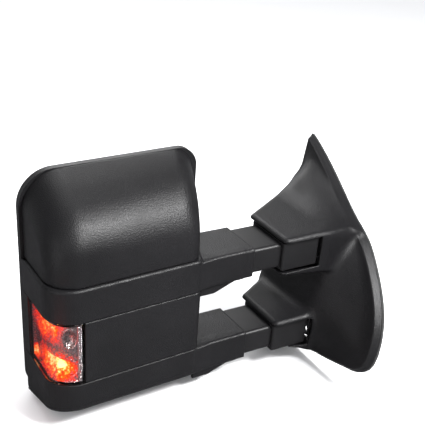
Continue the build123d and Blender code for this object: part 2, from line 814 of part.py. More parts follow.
def signal_board():
    """Board behind the reflector with a block on its inner face."""
    with BuildPart() as piece:
        with BuildSketch(Plane(origin=(-388, 14, 0), x_dir=board_x_dir, z_dir=board_normal)):
            with Locations((2, 0.6)):
                RectangleRounded(26, 60, 2)
                with GridLocations(0, 50, 1, 2):
                    Circle(1.7, mode=Mode.SUBTRACT)
        extrude(amount=1.6)
        with BuildSketch(Plane(origin=(-386.6, 14.75, 0), x_dir=board_x_dir, z_dir=board_normal)):
            with Locations((2, 0.6)):
                Rectangle(12, 18)
        extrude(amount=9)
    return piece.part


# ------------------------------------------------------------------ head: skull cap
# side outline of the cap as (y, z): upright front, rolling back over the top past the rear rim
CAP_SIDE = [(-46.0, cap_bottom - 1), (-45.6, 108), (-41.5, 129), (-31, 148), (-15, 163),
            (8, 175.5), (34, 185), (62, 192.0), (110, 197)]
cap_in_x = -186.0            # inboard end of the shoulder outline


def cap_solid(t, y_rear):
    """Cap shape moved inwards by t."""
    base_z = cap_bottom - 1
    side = inset(CAP_SIDE + [(110, base_z)], t)
    # both lower corners stay at the base
    side[0] = (side[0][0], base_z)
    side[-1] = (side[-1][0], base_z)
    with BuildPart() as solid:
        with BuildSketch(Plane.XY.offset(base_z)):
            add(head_plan(cap_step + t, y_rear, r_out=36, r_in=12))
        extrude(amount=130)
        with BuildSketch(Plane.YZ.offset(-500)):
            with BuildLine():
                Spline(*side[:-1])
                Polyline(side[-2], side[-1], side[0])
            make_face()
        extrude(amount=400, mode=Mode.INTERSECT)
        # rounded shoulders seen from behind
        x_out, x_in, top = head_out + cap_step + t, cap_in_x - t, head_top - t
        with BuildSketch(row(200)):
            with BuildLine():
                Line((x_out, base_z), (x_out, top - 62))
                Spline((x_out, top - 62), (x_out + 5, top - 38), (x_out + 19, top - 18),
                       (x_out + 42, top - 6), (x_out + 80, top - 1.0), (x_out + 140, top),
                       (x_in - 42, top - 1.5), (x_in - 20, top - 8), (x_in - 5, top - 24),
                       (x_in, top - 52), tangents=((0, 1), (0, -1)))
                Polyline((x_in, top - 52), (x_in, base_z), (x_out, base_z))
            make_face()
        extrude(amount=400, mode=Mode.INTERSECT)
    return solid.part


def skull_cap():
    with BuildPart() as piece:
        add(cap_solid(0, shell_y))
        add(cap_solid(wall, shell_y + 30), mode=Mode.SUBTRACT)
        with BuildSketch(Plane.XY.offset(cap_bottom)):
            Rectangle(1200, 600)
        extrude(amount=-10, mode=Mode.SUBTRACT)
    return piece.part


# ------------------------------------------------------------------ head: bezel
# outlines: four corners as (x, z), then their radii
RIM = ([(head_in, head_top - 1), (head_in, head_bottom), (head_out, head_bottom),
        (head_out, head_top - 6)], (26, 30, 34, 44))
UPPER_GLASS = ([(-208.0, 173.0), (-208.0, -4.5), (-400.5, -15.5), (-400.5, 164.0)], (12, 7, 7, 18))
LOWER_GLASS = ([(-205.5, -17.5), (-205.5, -93.0), (-345.0, -93.0), (-351.0, -20.0)], (6, 12, 5, 5))
BLANK = ([(-354.5, -20.5), (-349.0, -93.5), (-400.0, -93.5), (-400.0, -22.5)], (5, 4, 12, 6))
glass_gap = 2.6              # glass edge to bezel
rim_roll = 5.0               # depth of the rolled edge of the rim


def bezel():
    with BuildPart() as piece:
        # rim: rolls in from the shell line to the rear rim plane
        with BuildSketch(row(shell_y + 0.3)):
            add(rounded_face(RIM, -0.2))
        extrude(amount=-(rim_y - rim_roll - shell_y - 0.3))
        with BuildSketch(row(rim_y - rim_roll)):
            add(rounded_face(RIM, -0.2))
        with BuildSketch(row(rim_y)):
            add(rounded_face(RIM, -4.5))
        loft(ruled=True)
        # glass openings flare towards the rear
        for outline in (UPPER_GLASS, LOWER_GLASS):
            with BuildSketch(row(shell_y - 5)):
                add(rounded_face(outline, glass_gap))
            with BuildSketch(row(rim_y + 0.5)):
                add(rounded_face(outline, glass_gap + 2.0))
            loft(ruled=True, mode=Mode.SUBTRACT)
        # stepped opening for the blank panel
        with BuildSketch(row(shell_y - 5)):
            add(rounded_face(BLANK, -3.0))
        extrude(amount=-60, mode=Mode.SUBTRACT)
        with BuildSketch(row(rim_y - 5.5)):
            add(rounded_face(BLANK, 0.0))
        extrude(amount=-40, mode=Mode.SUBTRACT)
        # tongue that closes the side behind the lamp
        with BuildSketch(Plane.XY.offset(panel_bottom + 0.2)):
            add(head_plan(0.2, shell_y + 3))
            add(head_plan(wall, shell_y + 60), mode=Mode.SUBTRACT)
            with Locations((-250, 0)):
                Rectangle(320, 400, mode=Mode.SUBTRACT)
            with Locations((-420, lens_rear_y + 0.3 - 100)):
                Rectangle(60, 200, mode=Mode.SUBTRACT)
        extrude(amount=panel_h - 0.4)
    return piece.part


def blank_panel():
    with BuildPart() as piece:
        with BuildSketch(row(rim_y - 5.4)):
            add(rounded_face(BLANK, -0.3))
        extrude(amount=-3.4)
        with BuildSketch(row(rim_y - 12)):
            add(rounded_face(BLANK, -3.3))
        extrude(amount=-7.0)
        fillet(piece.faces().sort_by(Axis.Y)[-1].edges(), radius=0.8)
    return piece.part


# ------------------------------------------------------------------ head: bushes and stop screws
def slide_bushes():
    """Two bushes in each sleeve."""
    with BuildPart() as piece:
        for z in ARMS.values():
            for x, length in ((sleeve_in_x - 0.8, 16.0), (-205.0, 14.0)):
                with BuildSketch(Plane.YZ.offset(x)), Locations((0, z)):
                    RectangleRounded(sleeve_bore_w - 0.1, sleeve_bore_h - 0.1, 2.95)
                    RectangleRounded(tube_w + 2 * slide_gap, tube_h + 2 * slide_gap, 5.08,
                                     mode=Mode.SUBTRACT)
                extrude(amount=-length)
    return piece.part


def stop_screws():
    with BuildPart() as piece:
        for z in ARMS.values():
            base = z - sleeve_h / 2
            with Locations((stop_x, 0, base + 1.9)):
                Cylinder(2.9, 6.2)
            with Locations((stop_x, 0, base - 2.6)):
                Cylinder(2.2, 4.0)
            with Locations((stop_x, 0, z - tube_h / 2 + 1.0)):
                Cylinder(2.4, 5.0)
    return piece.part


# ------------------------------------------------------------------ head: frame
ball_x, ball_y, ball_z, ball_r = -304.0, 44.5, 100.0, 9.0          # upper glass pivot
spot_x, spot_y, spot_z, spot_r = -276.0, 46.2, -57.0, 5.6          # spotter glass pivot
FRAME_PLATE = ([(-240, 87), (-240, -92), (-345, -92), (-345, 87)], (2, 6, 6, 2))
FRAME_WINDOW = ([(-252, 34), (-252, -32), (-333, -32), (-333, 34)], (5, 5, 5, 5))
frame_t = 2.6                # shelf, upright plate and gussets
ACTUATOR_SCREWS = ((-336, 128), (-267, 98))      # (x, z)
actuator_screw_r = 1.3
frame_screw_r = 1.8          # holes in the frame


def head_frame():
    with BuildPart() as piece:
        with BuildSketch(row(frame_front_y)):
            add(rounded_face(FRAME_PLATE, 0))
        extrude(amount=-(frame_rear_y - frame_front_y))
        with BuildSketch(row(frame_front_y - 1)):
            add(rounded_face(FRAME_WINDOW, 0))
        extrude(amount=-10, mode=Mode.SUBTRACT)
        # shelf over the upper sleeve and upright plate in front of the actuator
        with Locations((-298.5, 20.0, 85.8)):
            Box(117, 36.0, frame_t)
        with Locations((-305, 3.3, 122)):
            Box(104, frame_t, 75)
        # gussets beside the actuator
        for x in (-355.7, -255.4):
            with BuildSketch(Plane.YZ.offset(x - frame_t / 2)):
                add(polygon([(4, 86), (34, 86), (5, 150), (4, 150)]))
            extrude(amount=frame_t)
        with BuildSketch(row(30)), Locations(*ACTUATOR_SCREWS):
            Circle(actuator_screw_r)
        extrude(amount=60, mode=Mode.SUBTRACT)
        with BuildSketch(row(60)), Locations(*FRAME_SCREWS):
            Circle(frame_screw_r)
        extrude(amount=60, mode=Mode.SUBTRACT)
        # opening at the spotter socket
        with Locations((spot_x, 37, spot_z)):
            Box(26, 20, 22, mode=Mode.SUBTRACT)
    return piece.part


def frame_screws():
    """Each screw: head with a hexagonal recess, shank running forwards."""
    with BuildPart() as piece:
        for x, z in FRAME_SCREWS:
            if z == 0:
                shank = 10.0
            else:
                shank = 4.6 if x == fixing_in_x else 5.0
            with BuildSketch(rearward(x, frame_rear_y + 0.05, z)):
                Circle(3.4)
            extrude(amount=2.0)
            with BuildSketch(rearward(x, frame_rear_y + 1.0, z)):
                RegularPolygon(1.6, 6)
            extrude(amount=2.0, mode=Mode.SUBTRACT)
            with BuildSketch(rearward(x, frame_rear_y + 0.1, z)):
                Circle(1.75)
            extrude(amount=-shank)
    return piece.part


# ------------------------------------------------------------------ head: glass actuator
ACTUATOR = ([(-260, 156), (-260, 88), (-353, 88), (-353, 156)], (12, 6, 6, 12))
actuator_front_y, actuator_rear_y = 4.8, 34.5
cover_front_y = actuator_rear_y + 0.1
lever = 38.0                 # plunger distance from the ball
PLUNGERS = {"yaw": (ball_x - lever, ball_z), "pitch": (ball_x, ball_z + lever)}      # (x, z)
plunger_r = 4.0
motor_y = 14.5


def actuator_housing():
    """Tray open to the rear, with two screw posts."""
    depth = actuator_rear_y - actuator_front_y
    with BuildPart() as piece:
        with BuildSketch(row(actuator_front_y)):
            add(rounded_face(ACTUATOR, 0))
        extrude(amount=-depth)
        with BuildSketch(row(actuator_front_y + 2)):
            add(rounded_face(ACTUATOR, -2.2))
        extrude(amount=-depth, mode=Mode.SUBTRACT)
        for x, z in ACTUATOR_SCREWS:
            with BuildSketch(rearward(x, actuator_front_y, z)):
                Circle(3.2)
                Circle(actuator_screw_r, mode=Mode.SUBTRACT)
            extrude(amount=8)
            with BuildSketch(rearward(x, actuator_front_y - 1, z)):
                Circle(actuator_screw_r)
            extrude(amount=8, mode=Mode.SUBTRACT)
    return piece.part


def actuator_cover():
    with BuildPart() as piece:
        with BuildSketch(row(cover_front_y)):
            add(rounded_face(ACTUATOR, 0))
        extrude(amount=-2.4)
        # cup that holds the pivot ball
        with BuildSketch(rearward(ball_x, cover_front_y, ball_z)):
            Circle(ball_r + 2.8)
        extrude(amount=ball_y + 2.6 - cover_front_y)
        with Locations((ball_x, ball_y, ball_z)):
            Sphere(ball_r + 0.05, mode=Mode.SUBTRACT)
        with BuildSketch(rearward(ball_x, ball_y, ball_z)):
            Circle(ball_r - 1.2)
        extrude(amount=20, mode=Mode.SUBTRACT)
        # guide towers for the two plungers
        for x, z in PLUNGERS.values():
            with BuildSketch(rearward(x, cover_front_y, z)):
                Circle(6.2)
            extrude(amount=2.6)
            with BuildSketch(rearward(x, actuator_rear_y - 5, z)):
                Circle(plunger_r + 0.05)
            extrude(amount=20, mode=Mode.SUBTRACT)
    return piece.part


def actuator_motors():
    """One motor along X and one along Z, each with a shaft out of both ends."""
    with BuildPart() as piece:
        for x, z, direction in ((-322, 97.6, (1, 0, 0)), (-281.5, 130, (0, 0, 1))):
            for radius, half_length in ((6.6, 12), (2.4, 14)):
                with BuildSketch(Plane(origin=(x, motor_y, z), z_dir=direction)):
                    Circle(radius)
                extrude(amount=half_length, both=True)
    return piece.part


def actuator_gears():
    """A gear ring round each plunger."""
    gear_r = 6.4
    with BuildPart() as piece:
        for x, z in PLUNGERS.values():
            with BuildSketch(rearward(x, 23.0, z)):
                Circle(gear_r)
                with PolarLocations(gear_r, 18):
                    Circle(0.55)
                Circle(4.3, mode=Mode.SUBTRACT)
            extrude(amount=7.0)
    return piece.part


def plunger(x, z):
    """Rod with a thinner neck and a ball tip."""
    rod_y, neck_y = 16.0, 20.0
    with BuildPart() as piece:
        with BuildSketch(rearward(x, rod_y, z)):
            Circle(plunger_r)
        extrude(amount=ball_y - 3.0 - rod_y)
        with BuildSketch(rearward(x, neck_y, z)):
            Circle(2.2)
        extrude(amount=ball_y - neck_y)
        with Locations((x, ball_y, z)):
            Sphere(3.2)
    return piece.part


def head_loom():
    """Cable from beside the actuator down towards the lamp."""
    points = [(-361, 10, 92), (-364, 8, 70), (-366, 6, 40), (-367, 8, 18)]
    return swept_cable(points, tangents=((0, 0, -1), (0, 0.3, -1)), radius=2.2)


# ------------------------------------------------------------------ both glass assemblies
holder_front_y, holder_rear_y = 52.6, 54.9       # holder plate
glass_front_y, glass_rear_y = 55.6, 58.0


def holder_tray(outline, plate_inset, rim_depth):
    """Holder plate with a rim round the glass."""
    with BuildPart() as tray:
        with BuildSketch(row(holder_front_y)):
            add(rounded_face(outline, -plate_inset))
        extrude(amount=-(holder_rear_y - holder_front_y))
        with BuildSketch(row(holder_rear_y - 0.5)):
            add(rounded_face(outline, 0.9))
        extrude(amount=-rim_depth)
        with BuildSketch(row(holder_rear_y)):
            add(rounded_face(outline, 0.0))
        extrude(amount=-10, mode=Mode.SUBTRACT)
    return tray.part


def heater(outline, edge_inset):
    """Heater sheet behind the holder plate."""
    with BuildPart() as sheet:
        with BuildSketch(row(holder_rear_y + 0.05)):
            add(rounded_face(outline, -edge_inset))
        extrude(amount=-0.5)
    return sheet.part


def cross_rod(x, y, z, radius, length):
    """Rod along X, centred on a point."""
    with BuildPart() as rod:
        with BuildSketch(Plane.YZ.offset(x - length / 2)), Locations((y, z)):
            Circle(radius)
        extrude(amount=length)
    return rod.part


def tongue(x, y, z, thickness, eye_r, hole_r, width):
    """Tongue from the holder plate forwards to an eye at the pivot."""
    reach = holder_front_y + 0.5
    with BuildPart() as solid:
        with BuildSketch(Plane.YZ.offset(x - thickness / 2)):
            with Locations((y, z)):
                Circle(eye_r)
            with Locations(((y + reach) / 2, z)):
                Rectangle(reach - y, width)
            with Locations((y, z)):
                Circle(hole_r, mode=Mode.SUBTRACT)
        extrude(amount=thickness)
    return solid.part


# ------------------------------------------------------------------ upper glass assembly
upper_pin_r = 1.75
plunger_socket_r = 3.75


def upper_pivot_ball():
    with BuildPart() as piece:
        with Locations((ball_x, ball_y, ball_z)):
            Sphere(ball_r)
        # slot for the holder tongue, open to the rear
        with Locations((ball_x, ball_y + 4.0, ball_z)):
            Box(4.4, 22, 30, mode=Mode.SUBTRACT)
        with Locations((ball_x, ball_y - 3.0, ball_z)):
            Box(4.4, 8, 30, mode=Mode.SUBTRACT)
        add(cross_rod(ball_x, ball_y, ball_z, upper_pin_r, length=40), mode=Mode.SUBTRACT)
        # bridge at the front that keeps the two halves in one piece
        with Locations((ball_x, ball_y - 7.0, ball_z)):
            Box(4.6, 2.6, 6.0)
        # flat towards the glass
        with Locations((ball_x, ball_y + 6.4 + 5, ball_z)):
            Box(30, 10, 30, mode=Mode.SUBTRACT)
        # round grease pocket on the yaw axis
        with Locations((ball_x, ball_y, ball_z + 8.0)):
            Cylinder(3.0, 6.0, mode=Mode.SUBTRACT)
    return piece.part


def upper_pivot_pin():
    return cross_rod(ball_x, ball_y, ball_z, upper_pin_r, length=16.0)


def upper_glass_holder():
    with BuildPart() as piece:
        add(holder_tray(UPPER_GLASS, plate_inset=3.0,
                        rim_depth=glass_rear_y - 0.6 - holder_rear_y + 0.5))
        add(tongue(ball_x, ball_y, ball_z, thickness=4.2, eye_r=3.6, hole_r=1.8, width=6.0))
        # sockets for the plunger tips, open to the front
        for x, z in PLUNGERS.values():
            with BuildSketch(rearward(x, ball_y - 1.2, z)):
                Circle(6.0)
            extrude(amount=holder_front_y + 0.5 - ball_y + 1.2)
            with Locations((x, ball_y, z)):
                Sphere(plunger_socket_r, mode=Mode.SUBTRACT)
            with BuildSketch(rearward(x, ball_y, z)):
                Circle(plunger_socket_r)
            extrude(amount=-10, mode=Mode.SUBTRACT)
        # stiffening ribs: x, middle height, length
        for x, z, length in ((-240, 66, 120), (-272, 66, 120), (-336, 58, 60), (-372, 66, 120)):
            with Locations((x, holder_front_y - 0.4, z)):
                Box(1.6, 1.6, length)
    return piece.part


def upper_heater():
    return heater(UPPER_GLASS, edge_inset=4.0)


def upper_glass():
    with BuildPart() as piece:
        with BuildSketch(row(glass_front_y)):
            add(rounded_face(UPPER_GLASS, -0.2))
        extrude(amount=-(glass_rear_y - glass_front_y))
        chamfer(piece.faces().sort_by(Axis.Y)[-1].edges(), length=0.6)
    return piece.part


# ------------------------------------------------------------------ spotter glass assembly
spot_pin_r = 1.2
socket_front_y = 38.9
dome_r = 620.0               # curvature of the spotter glass
dome_rear_y = 61.0           # rearmost point of the curvature


def spotter_socket():
    with BuildPart() as piece:
        with BuildSketch(rearward(spot_x, socket_front_y, spot_z)):
            RectangleRounded(40, 30, 4)
            with GridLocations(32, 22, 2, 2):
                Circle(1.4, mode=Mode.SUBTRACT)
        extrude(amount=2.6)
        with BuildSketch(rearward(spot_x, socket_front_y, spot_z)):
            Circle(spot_r + 2.4)
        extrude(amount=spot_y + 2.0 - socket_front_y)
        with Locations((spot_x, spot_y, spot_z)):
            Sphere(spot_r + 0.05, mode=Mode.SUBTRACT)
        with BuildSketch(rearward(spot_x, spot_y, spot_z)):
            Circle(spot_r - 0.7)
        extrude(amount=20, mode=Mode.SUBTRACT)
    return piece.part


def spotter_ball():
    with BuildPart() as piece:
        with Locations((spot_x, spot_y, spot_z)):
            Sphere(spot_r)
        # slot for the holder tongue, open to the rear
        with Locations((spot_x, spot_y + 4.0, spot_z)):
            Box(2.8, 12, 20, mode=Mode.SUBTRACT)
        with Locations((spot_x, spot_y - 1.8, spot_z)):
            Box(2.8, 5.2, 20, mode=Mode.SUBTRACT)
        add(cross_rod(spot_x, spot_y, spot_z, spot_pin_r, length=40), mode=Mode.SUBTRACT)
        # bridge at the front
        with Locations((spot_x, spot_y - 4.3, spot_z)):
            Box(3.0, 1.6, 4.0)
        # round grease pocket on the yaw axis
        with Locations((spot_x, spot_y, spot_z + 5.2)):
            Cylinder(2.0, 4.0, mode=Mode.SUBTRACT)
    return piece.part


def spotter_pin():
    return cross_rod(spot_x, spot_y, spot_z, spot_pin_r, length=9.8)


def spotter_holder():
    with BuildPart() as piece:
        add(holder_tray(LOWER_GLASS, plate_inset=2.5, rim_depth=2.0))
        add(tongue(spot_x, spot_y, spot_z, thickness=2.6, eye_r=2.5, hole_r=1.25, width=4.0))
    return piece.part


def spotter_heater():
    return heater(LOWER_GLASS, edge_inset=3.5)


def spotter_glass():
    """Flat front, domed rear."""
    with BuildPart() as piece:
        with BuildSketch(row(glass_front_y)):
            add(rounded_face(LOWER_GLASS, -0.2))
        extrude(amount=-8)
        with Locations((spot_x, dome_rear_y - dome_r, -55.0)):
            Sphere(dome_r, mode=Mode.INTERSECT)
    return piece.part


# ------------------------------------------------------------------ files
def save(piece, name):
    piece.label = name
    export_step(piece, f"parts/{name}.step")


PIECES = (
    base_cover, door_gasket, base_bracket, mounting_studs, stud_nuts, locating_peg,
    harness_grommet, door_harness, harness_connector, cover_screws, tube_plugs, arm_cable,
    upper_band, lower_band, front_panel, signal_lens, signal_reflector, signal_bulbs,
    signal_board, skull_cap, bezel, blank_panel, slide_bushes, stop_screws, head_frame,
    frame_screws, actuator_housing, actuator_cover, actuator_motors, actuator_gears, head_loom,
    upper_pivot_ball, upper_pivot_pin, upper_glass_holder, upper_heater, upper_glass,
    spotter_socket, spotter_ball, spotter_pin, spotter_holder, spotter_heater, spotter_glass,
)
for build in PIECES:
    save(build(), build.__name__)

for arm, arm_height in ARMS.items():
    for build in (fold_pin, fold_spring, friction_washer, pivot_block, arm_tube):
        save(build(arm_height), f"{arm}_{build.__name__}")

for motion, (plunger_x, plunger_z) in PLUNGERS.items():
    save(plunger(plunger_x, plunger_z), f"{motion}_plunger")
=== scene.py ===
# Door mirror on two arms. The base cover sits on the door near x = 0 and the head stands
# outboard, towards -x. Front is -y, the glass looks to +y, and up is +z.
# The CAD pieces get their finishes, then new meshes take the place of the moulded shells and
# of the lamp's inner parts. Shells are worked out in millimetres, all else is in metres.
import math
import bmesh
import bpy
import numpy as np
from mathutils import Matrix, Vector


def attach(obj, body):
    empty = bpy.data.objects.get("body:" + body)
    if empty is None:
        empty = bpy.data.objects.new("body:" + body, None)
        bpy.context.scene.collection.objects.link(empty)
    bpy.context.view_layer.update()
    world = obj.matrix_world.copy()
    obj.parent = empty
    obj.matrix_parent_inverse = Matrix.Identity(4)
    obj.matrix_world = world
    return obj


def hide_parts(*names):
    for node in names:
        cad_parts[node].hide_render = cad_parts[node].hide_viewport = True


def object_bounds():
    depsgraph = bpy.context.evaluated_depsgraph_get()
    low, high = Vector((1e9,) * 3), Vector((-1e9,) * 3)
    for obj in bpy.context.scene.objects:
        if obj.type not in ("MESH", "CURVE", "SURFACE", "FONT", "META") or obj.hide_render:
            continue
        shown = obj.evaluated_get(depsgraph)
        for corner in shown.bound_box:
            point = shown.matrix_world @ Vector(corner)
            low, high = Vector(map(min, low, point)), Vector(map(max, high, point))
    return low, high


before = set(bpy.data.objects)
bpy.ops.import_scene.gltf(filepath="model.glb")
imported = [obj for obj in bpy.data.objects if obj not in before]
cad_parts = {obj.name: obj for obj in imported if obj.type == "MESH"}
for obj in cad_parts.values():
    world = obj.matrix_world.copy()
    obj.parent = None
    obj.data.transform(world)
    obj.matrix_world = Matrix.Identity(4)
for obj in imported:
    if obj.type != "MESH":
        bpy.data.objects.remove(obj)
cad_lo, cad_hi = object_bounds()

MM = 0.001  # metres in a millimetre
MATERIALS = {}


def add_object(name, data, location=(0, 0, 0)):
    piece = bpy.data.objects.new(name, data)
    bpy.context.scene.collection.objects.link(piece)
    piece.location = location
    return piece


def mesh_object(name, vertices, faces):
    """Object from vertices in millimetres."""
    mesh = bpy.data.meshes.new(name)
    mesh.from_pydata((np.array(vertices) * MM).tolist(), [], faces)
    mesh.update()
    return add_object(name, mesh)


def bmesh_object(name, bm):
    """Object from a bmesh in metres, which is freed."""
    mesh = bpy.data.meshes.new(name)
    bm.to_mesh(mesh)
    bm.free()
    return add_object(name, mesh)


# ------------------------------------------------------------------ shader nodes
class Material:
    """A material with a Principled shader, and short ways to add nodes to it."""

    def __init__(self, name):
        material = bpy.data.materials.new(name)
        material.use_nodes = True
        self.tree = material.node_tree
        self.tree.nodes.clear()
        self.output = self.add("ShaderNodeOutputMaterial")
        self.principled = self.add("ShaderNodeBsdfPrincipled")
        self.put(self.output.inputs["Surface"], self.principled.outputs["BSDF"])
        self.place = self.add("ShaderNodeTexCoord").outputs["Object"]
        MATERIALS[name] = material

    def add(self, kind, inputs=None, **props):
        node = self.tree.nodes.new(kind)
        for key, value in props.items():
            setattr(node, key, value)
        for key, value in (inputs or {}).items():
            self.put(node.inputs[key], value)
        return node

    def put(self, socket, value):
        """Links the value if it is a socket, else stores it."""
        if isinstance(value, bpy.types.NodeSocket):
            self.tree.links.new(value, socket)
        else:
            socket.default_value = value

    def set(self, name, value):
        self.put(self.principled.inputs[name], value)

    def noise(self, scale, detail=3.0, rough=0.55, place=None):
        inputs = {"Scale": scale, "Detail": detail, "Roughness": rough,
                  "Vector": place or self.place}
        return self.add("ShaderNodeTexNoise", inputs).outputs["Fac"]

    def voronoi(self, scale, feature="F1"):
        inputs = {"Scale": scale, "Vector": self.place}
        return self.add("ShaderNodeTexVoronoi", inputs, feature=feature).outputs["Distance"]

    def ramp(self, value, low=0.3, high=0.7, to_low=0.0, to_high=1.0):
        """Clamped remap. The default range is where most noise lies."""
        inputs = {"Value": value, "From Min": low, "From Max": high,
                  "To Min": to_low, "To Max": to_high}
        return self.add("ShaderNodeMapRange", inputs, clamp=True).outputs["Result"]

    def math(self, operation, first, second):
        inputs = {0: first, 1: second}
        return self.add("ShaderNodeMath", inputs, operation=operation).outputs[0]

    def times(self, first, second):
        return self.math("MULTIPLY", first, second)

    def plus(self, first, second):
        return self.math("ADD", first, second)

    def mix(self, factor, first, second):
        """Mix of two colours, each a tuple or a socket."""
        first, second = ((*colour, 1.0) if isinstance(colour, tuple) else colour
                         for colour in (first, second))
        inputs = {"Factor": factor, 6: first, 7: second}
        return self.add("ShaderNodeMix", inputs, data_type="RGBA").outputs[2]

    def vector_math(self, operation, first, second):
        inputs = {0: first, 1: second}
        return self.add("ShaderNodeVectorMath", inputs, operation=operation).outputs["Value"]

    def rounded(self, radius):
        """Softened normal at hard edges."""
        return self.add("ShaderNodeBevel", {"Radius": radius}, samples=4).outputs["Normal"]

    def edge(self, normal):
        """1 on a hard edge, 0 on a flat face."""
        flat = self.add("ShaderNodeNewGeometry").outputs["Normal"]
        return self.ramp(self.vector_math("DOT_PRODUCT", normal, flat), low=0.995, high=0.86)

    def bump(self, height, distance, strength=1.0, normal=None):
        inputs = {"Strength": strength, "Distance": distance, "Height": height}
        if normal is not None:
            inputs["Normal"] = normal
        return self.add("ShaderNodeBump", inputs).outputs["Normal"]


def scaled(colour, factor):
    return tuple(min(1.0, channel * factor) for channel in colour)


# ------------------------------------------------------------------ materials
def plastic(name, colour, worn, rough, grain, depth, radius, var=0.25, spec=0.26, pebble=True):
    """Moulded plastic: grained surface, uneven gloss, rubbed edges in the worn colour."""
    mat = Material(name)
    soft = mat.rounded(radius)
    edge = mat.edge(soft)
    broad = mat.noise(scale=9.0)
    fine = mat.noise(scale=grain, detail=2.0, rough=0.6)
    cells = mat.voronoi(scale=grain * 0.9, feature="SMOOTH_F1") if pebble else fine
    height = mat.plus(mat.times(cells, 0.7), mat.times(fine, 0.5))
    base = mat.mix(mat.ramp(broad), scaled(colour, 1 - var), scaled(colour, 1 + var))
    specks = mat.times(mat.ramp(fine, low=0.45, high=0.75), 0.25)
    base = mat.mix(specks, base, scaled(colour, 1.7))
    patches = mat.ramp(mat.noise(scale=60.0, detail=4.0), low=0.35)
    base = mat.mix(mat.times(mat.times(edge, patches), 0.5), base, worn)
    mat.set("Base Color", base)
    gloss = mat.ramp(mat.noise(scale=28.0, detail=5.0), to_low=rough - 0.04, to_high=rough + 0.05)
    mat.set("Roughness", mat.plus(gloss, mat.times(edge, -0.06)))
    mat.set("Specular IOR Level", spec)
    mat.set("Normal", mat.bump(height, distance=depth, normal=soft))


def metal(name, colour, rough, brushed=None, speckle=0.2, radius=0.0004, depth=0.00002,
          scale=400.0, tint=None):
    """Metal with a drawn or cast surface, stains in the plating and bright edges."""
    mat = Material(name)
    soft = mat.rounded(radius)
    edge = mat.edge(soft)
    place = mat.place
    if brushed:
        inputs = {"Scale": brushed, "Vector": place}
        place = mat.add("ShaderNodeMapping", inputs).outputs["Vector"]
    fine = mat.noise(scale=scale, detail=4.0, rough=0.65, place=place)
    broad = mat.noise(scale=35.0, detail=5.0, rough=0.6)
    base = mat.mix(mat.ramp(broad, low=0.35), scaled(colour, 1 - speckle), colour)
    if tint:
        stain = mat.ramp(mat.noise(scale=14.0, detail=2.0), low=0.4)
        base = mat.mix(mat.times(stain, 0.5), base, tint)
    base = mat.mix(mat.times(edge, 0.5), base, scaled(colour, 1.35))
    mat.set("Base Color", base)
    mat.set("Metallic", 1.0)
    mat.set("Roughness", mat.ramp(fine, to_low=rough - 0.07, to_high=rough + 0.1))
    mat.set("Normal", mat.bump(fine, distance=depth, normal=soft))


def mirror_silver(name):
    """Silvered glass with the faint waviness and dust of a real mirror."""
    mat = Material(name)
    soft = mat.rounded(0.0006)
    haze = mat.ramp(mat.noise(scale=22.0, detail=6.0, rough=0.6), high=0.75)
    mat.set("Base Color", mat.mix(haze, (0.86, 0.88, 0.89), (0.93, 0.94, 0.945)))
    mat.set("Metallic", 1.0)
    dust = mat.noise(scale=90.0, detail=6.0)
    mat.set("Roughness", mat.ramp(dust, low=0.45, high=0.8, to_low=0.015, to_high=0.06))
    wave = mat.noise(scale=7.0, detail=1.0)
    mat.set("Normal", mat.bump(wave, distance=0.00004, normal=soft))


def clear_lens(name):
    """Clear lens with upright flutes, faintly red where it wraps to the side."""
    mat = Material(name)
    mat.tree.nodes.remove(mat.principled)
    split = mat.add("ShaderNodeSeparateXYZ", {0: mat.place})
    side = mat.ramp(split.outputs["Y"], low=-0.042, high=0.0)
    haze = mat.noise(scale=40.0, detail=4.0)
    tint = mat.mix(mat.times(side, 0.9), (0.95, 0.91, 0.91), (0.90, 0.66, 0.68))
    tint = mat.mix(mat.times(mat.ramp(haze), 0.2), tint, (0.78, 0.60, 0.60))
    clear = mat.add("ShaderNodeBsdfTransparent", {"Color": tint})
    flutes = mat.add("ShaderNodeTexWave", {"Scale": 95.0, "Vector": mat.place},
                     wave_type="BANDS", bands_direction="X").outputs["Fac"]
    grain = mat.noise(scale=300.0, detail=2.0)
    height = mat.plus(mat.times(flutes, 0.6), mat.times(grain, 0.4))
    normal = mat.bump(height, distance=0.0001, strength=0.7, normal=mat.rounded(0.0006))
    gloss = mat.add("ShaderNodeBsdfGlossy", {"Roughness": 0.10, "Normal": normal})
    fresnel = mat.add("ShaderNodeFresnel", {"IOR": 1.35}).outputs[0]
    both = mat.add("ShaderNodeMixShader", {0: mat.times(fresnel, 0.35), 1: clear.outputs[0],
                                           2: gloss.outputs[0]})
    mat.put(mat.output.inputs["Surface"], both.outputs[0])


def glow(name, colour, strength):
    mat = Material(name)
    grain = mat.noise(scale=700.0)
    base = mat.mix(mat.ramp(grain), scaled(colour, 0.8), colour)
    mat.set("Base Color", base)
    mat.set("Emission Color", base)
    mat.set("Emission Strength", strength)
    mat.set("Roughness", 0.3)
    mat.set("Normal", mat.bump(grain, distance=0.00003))


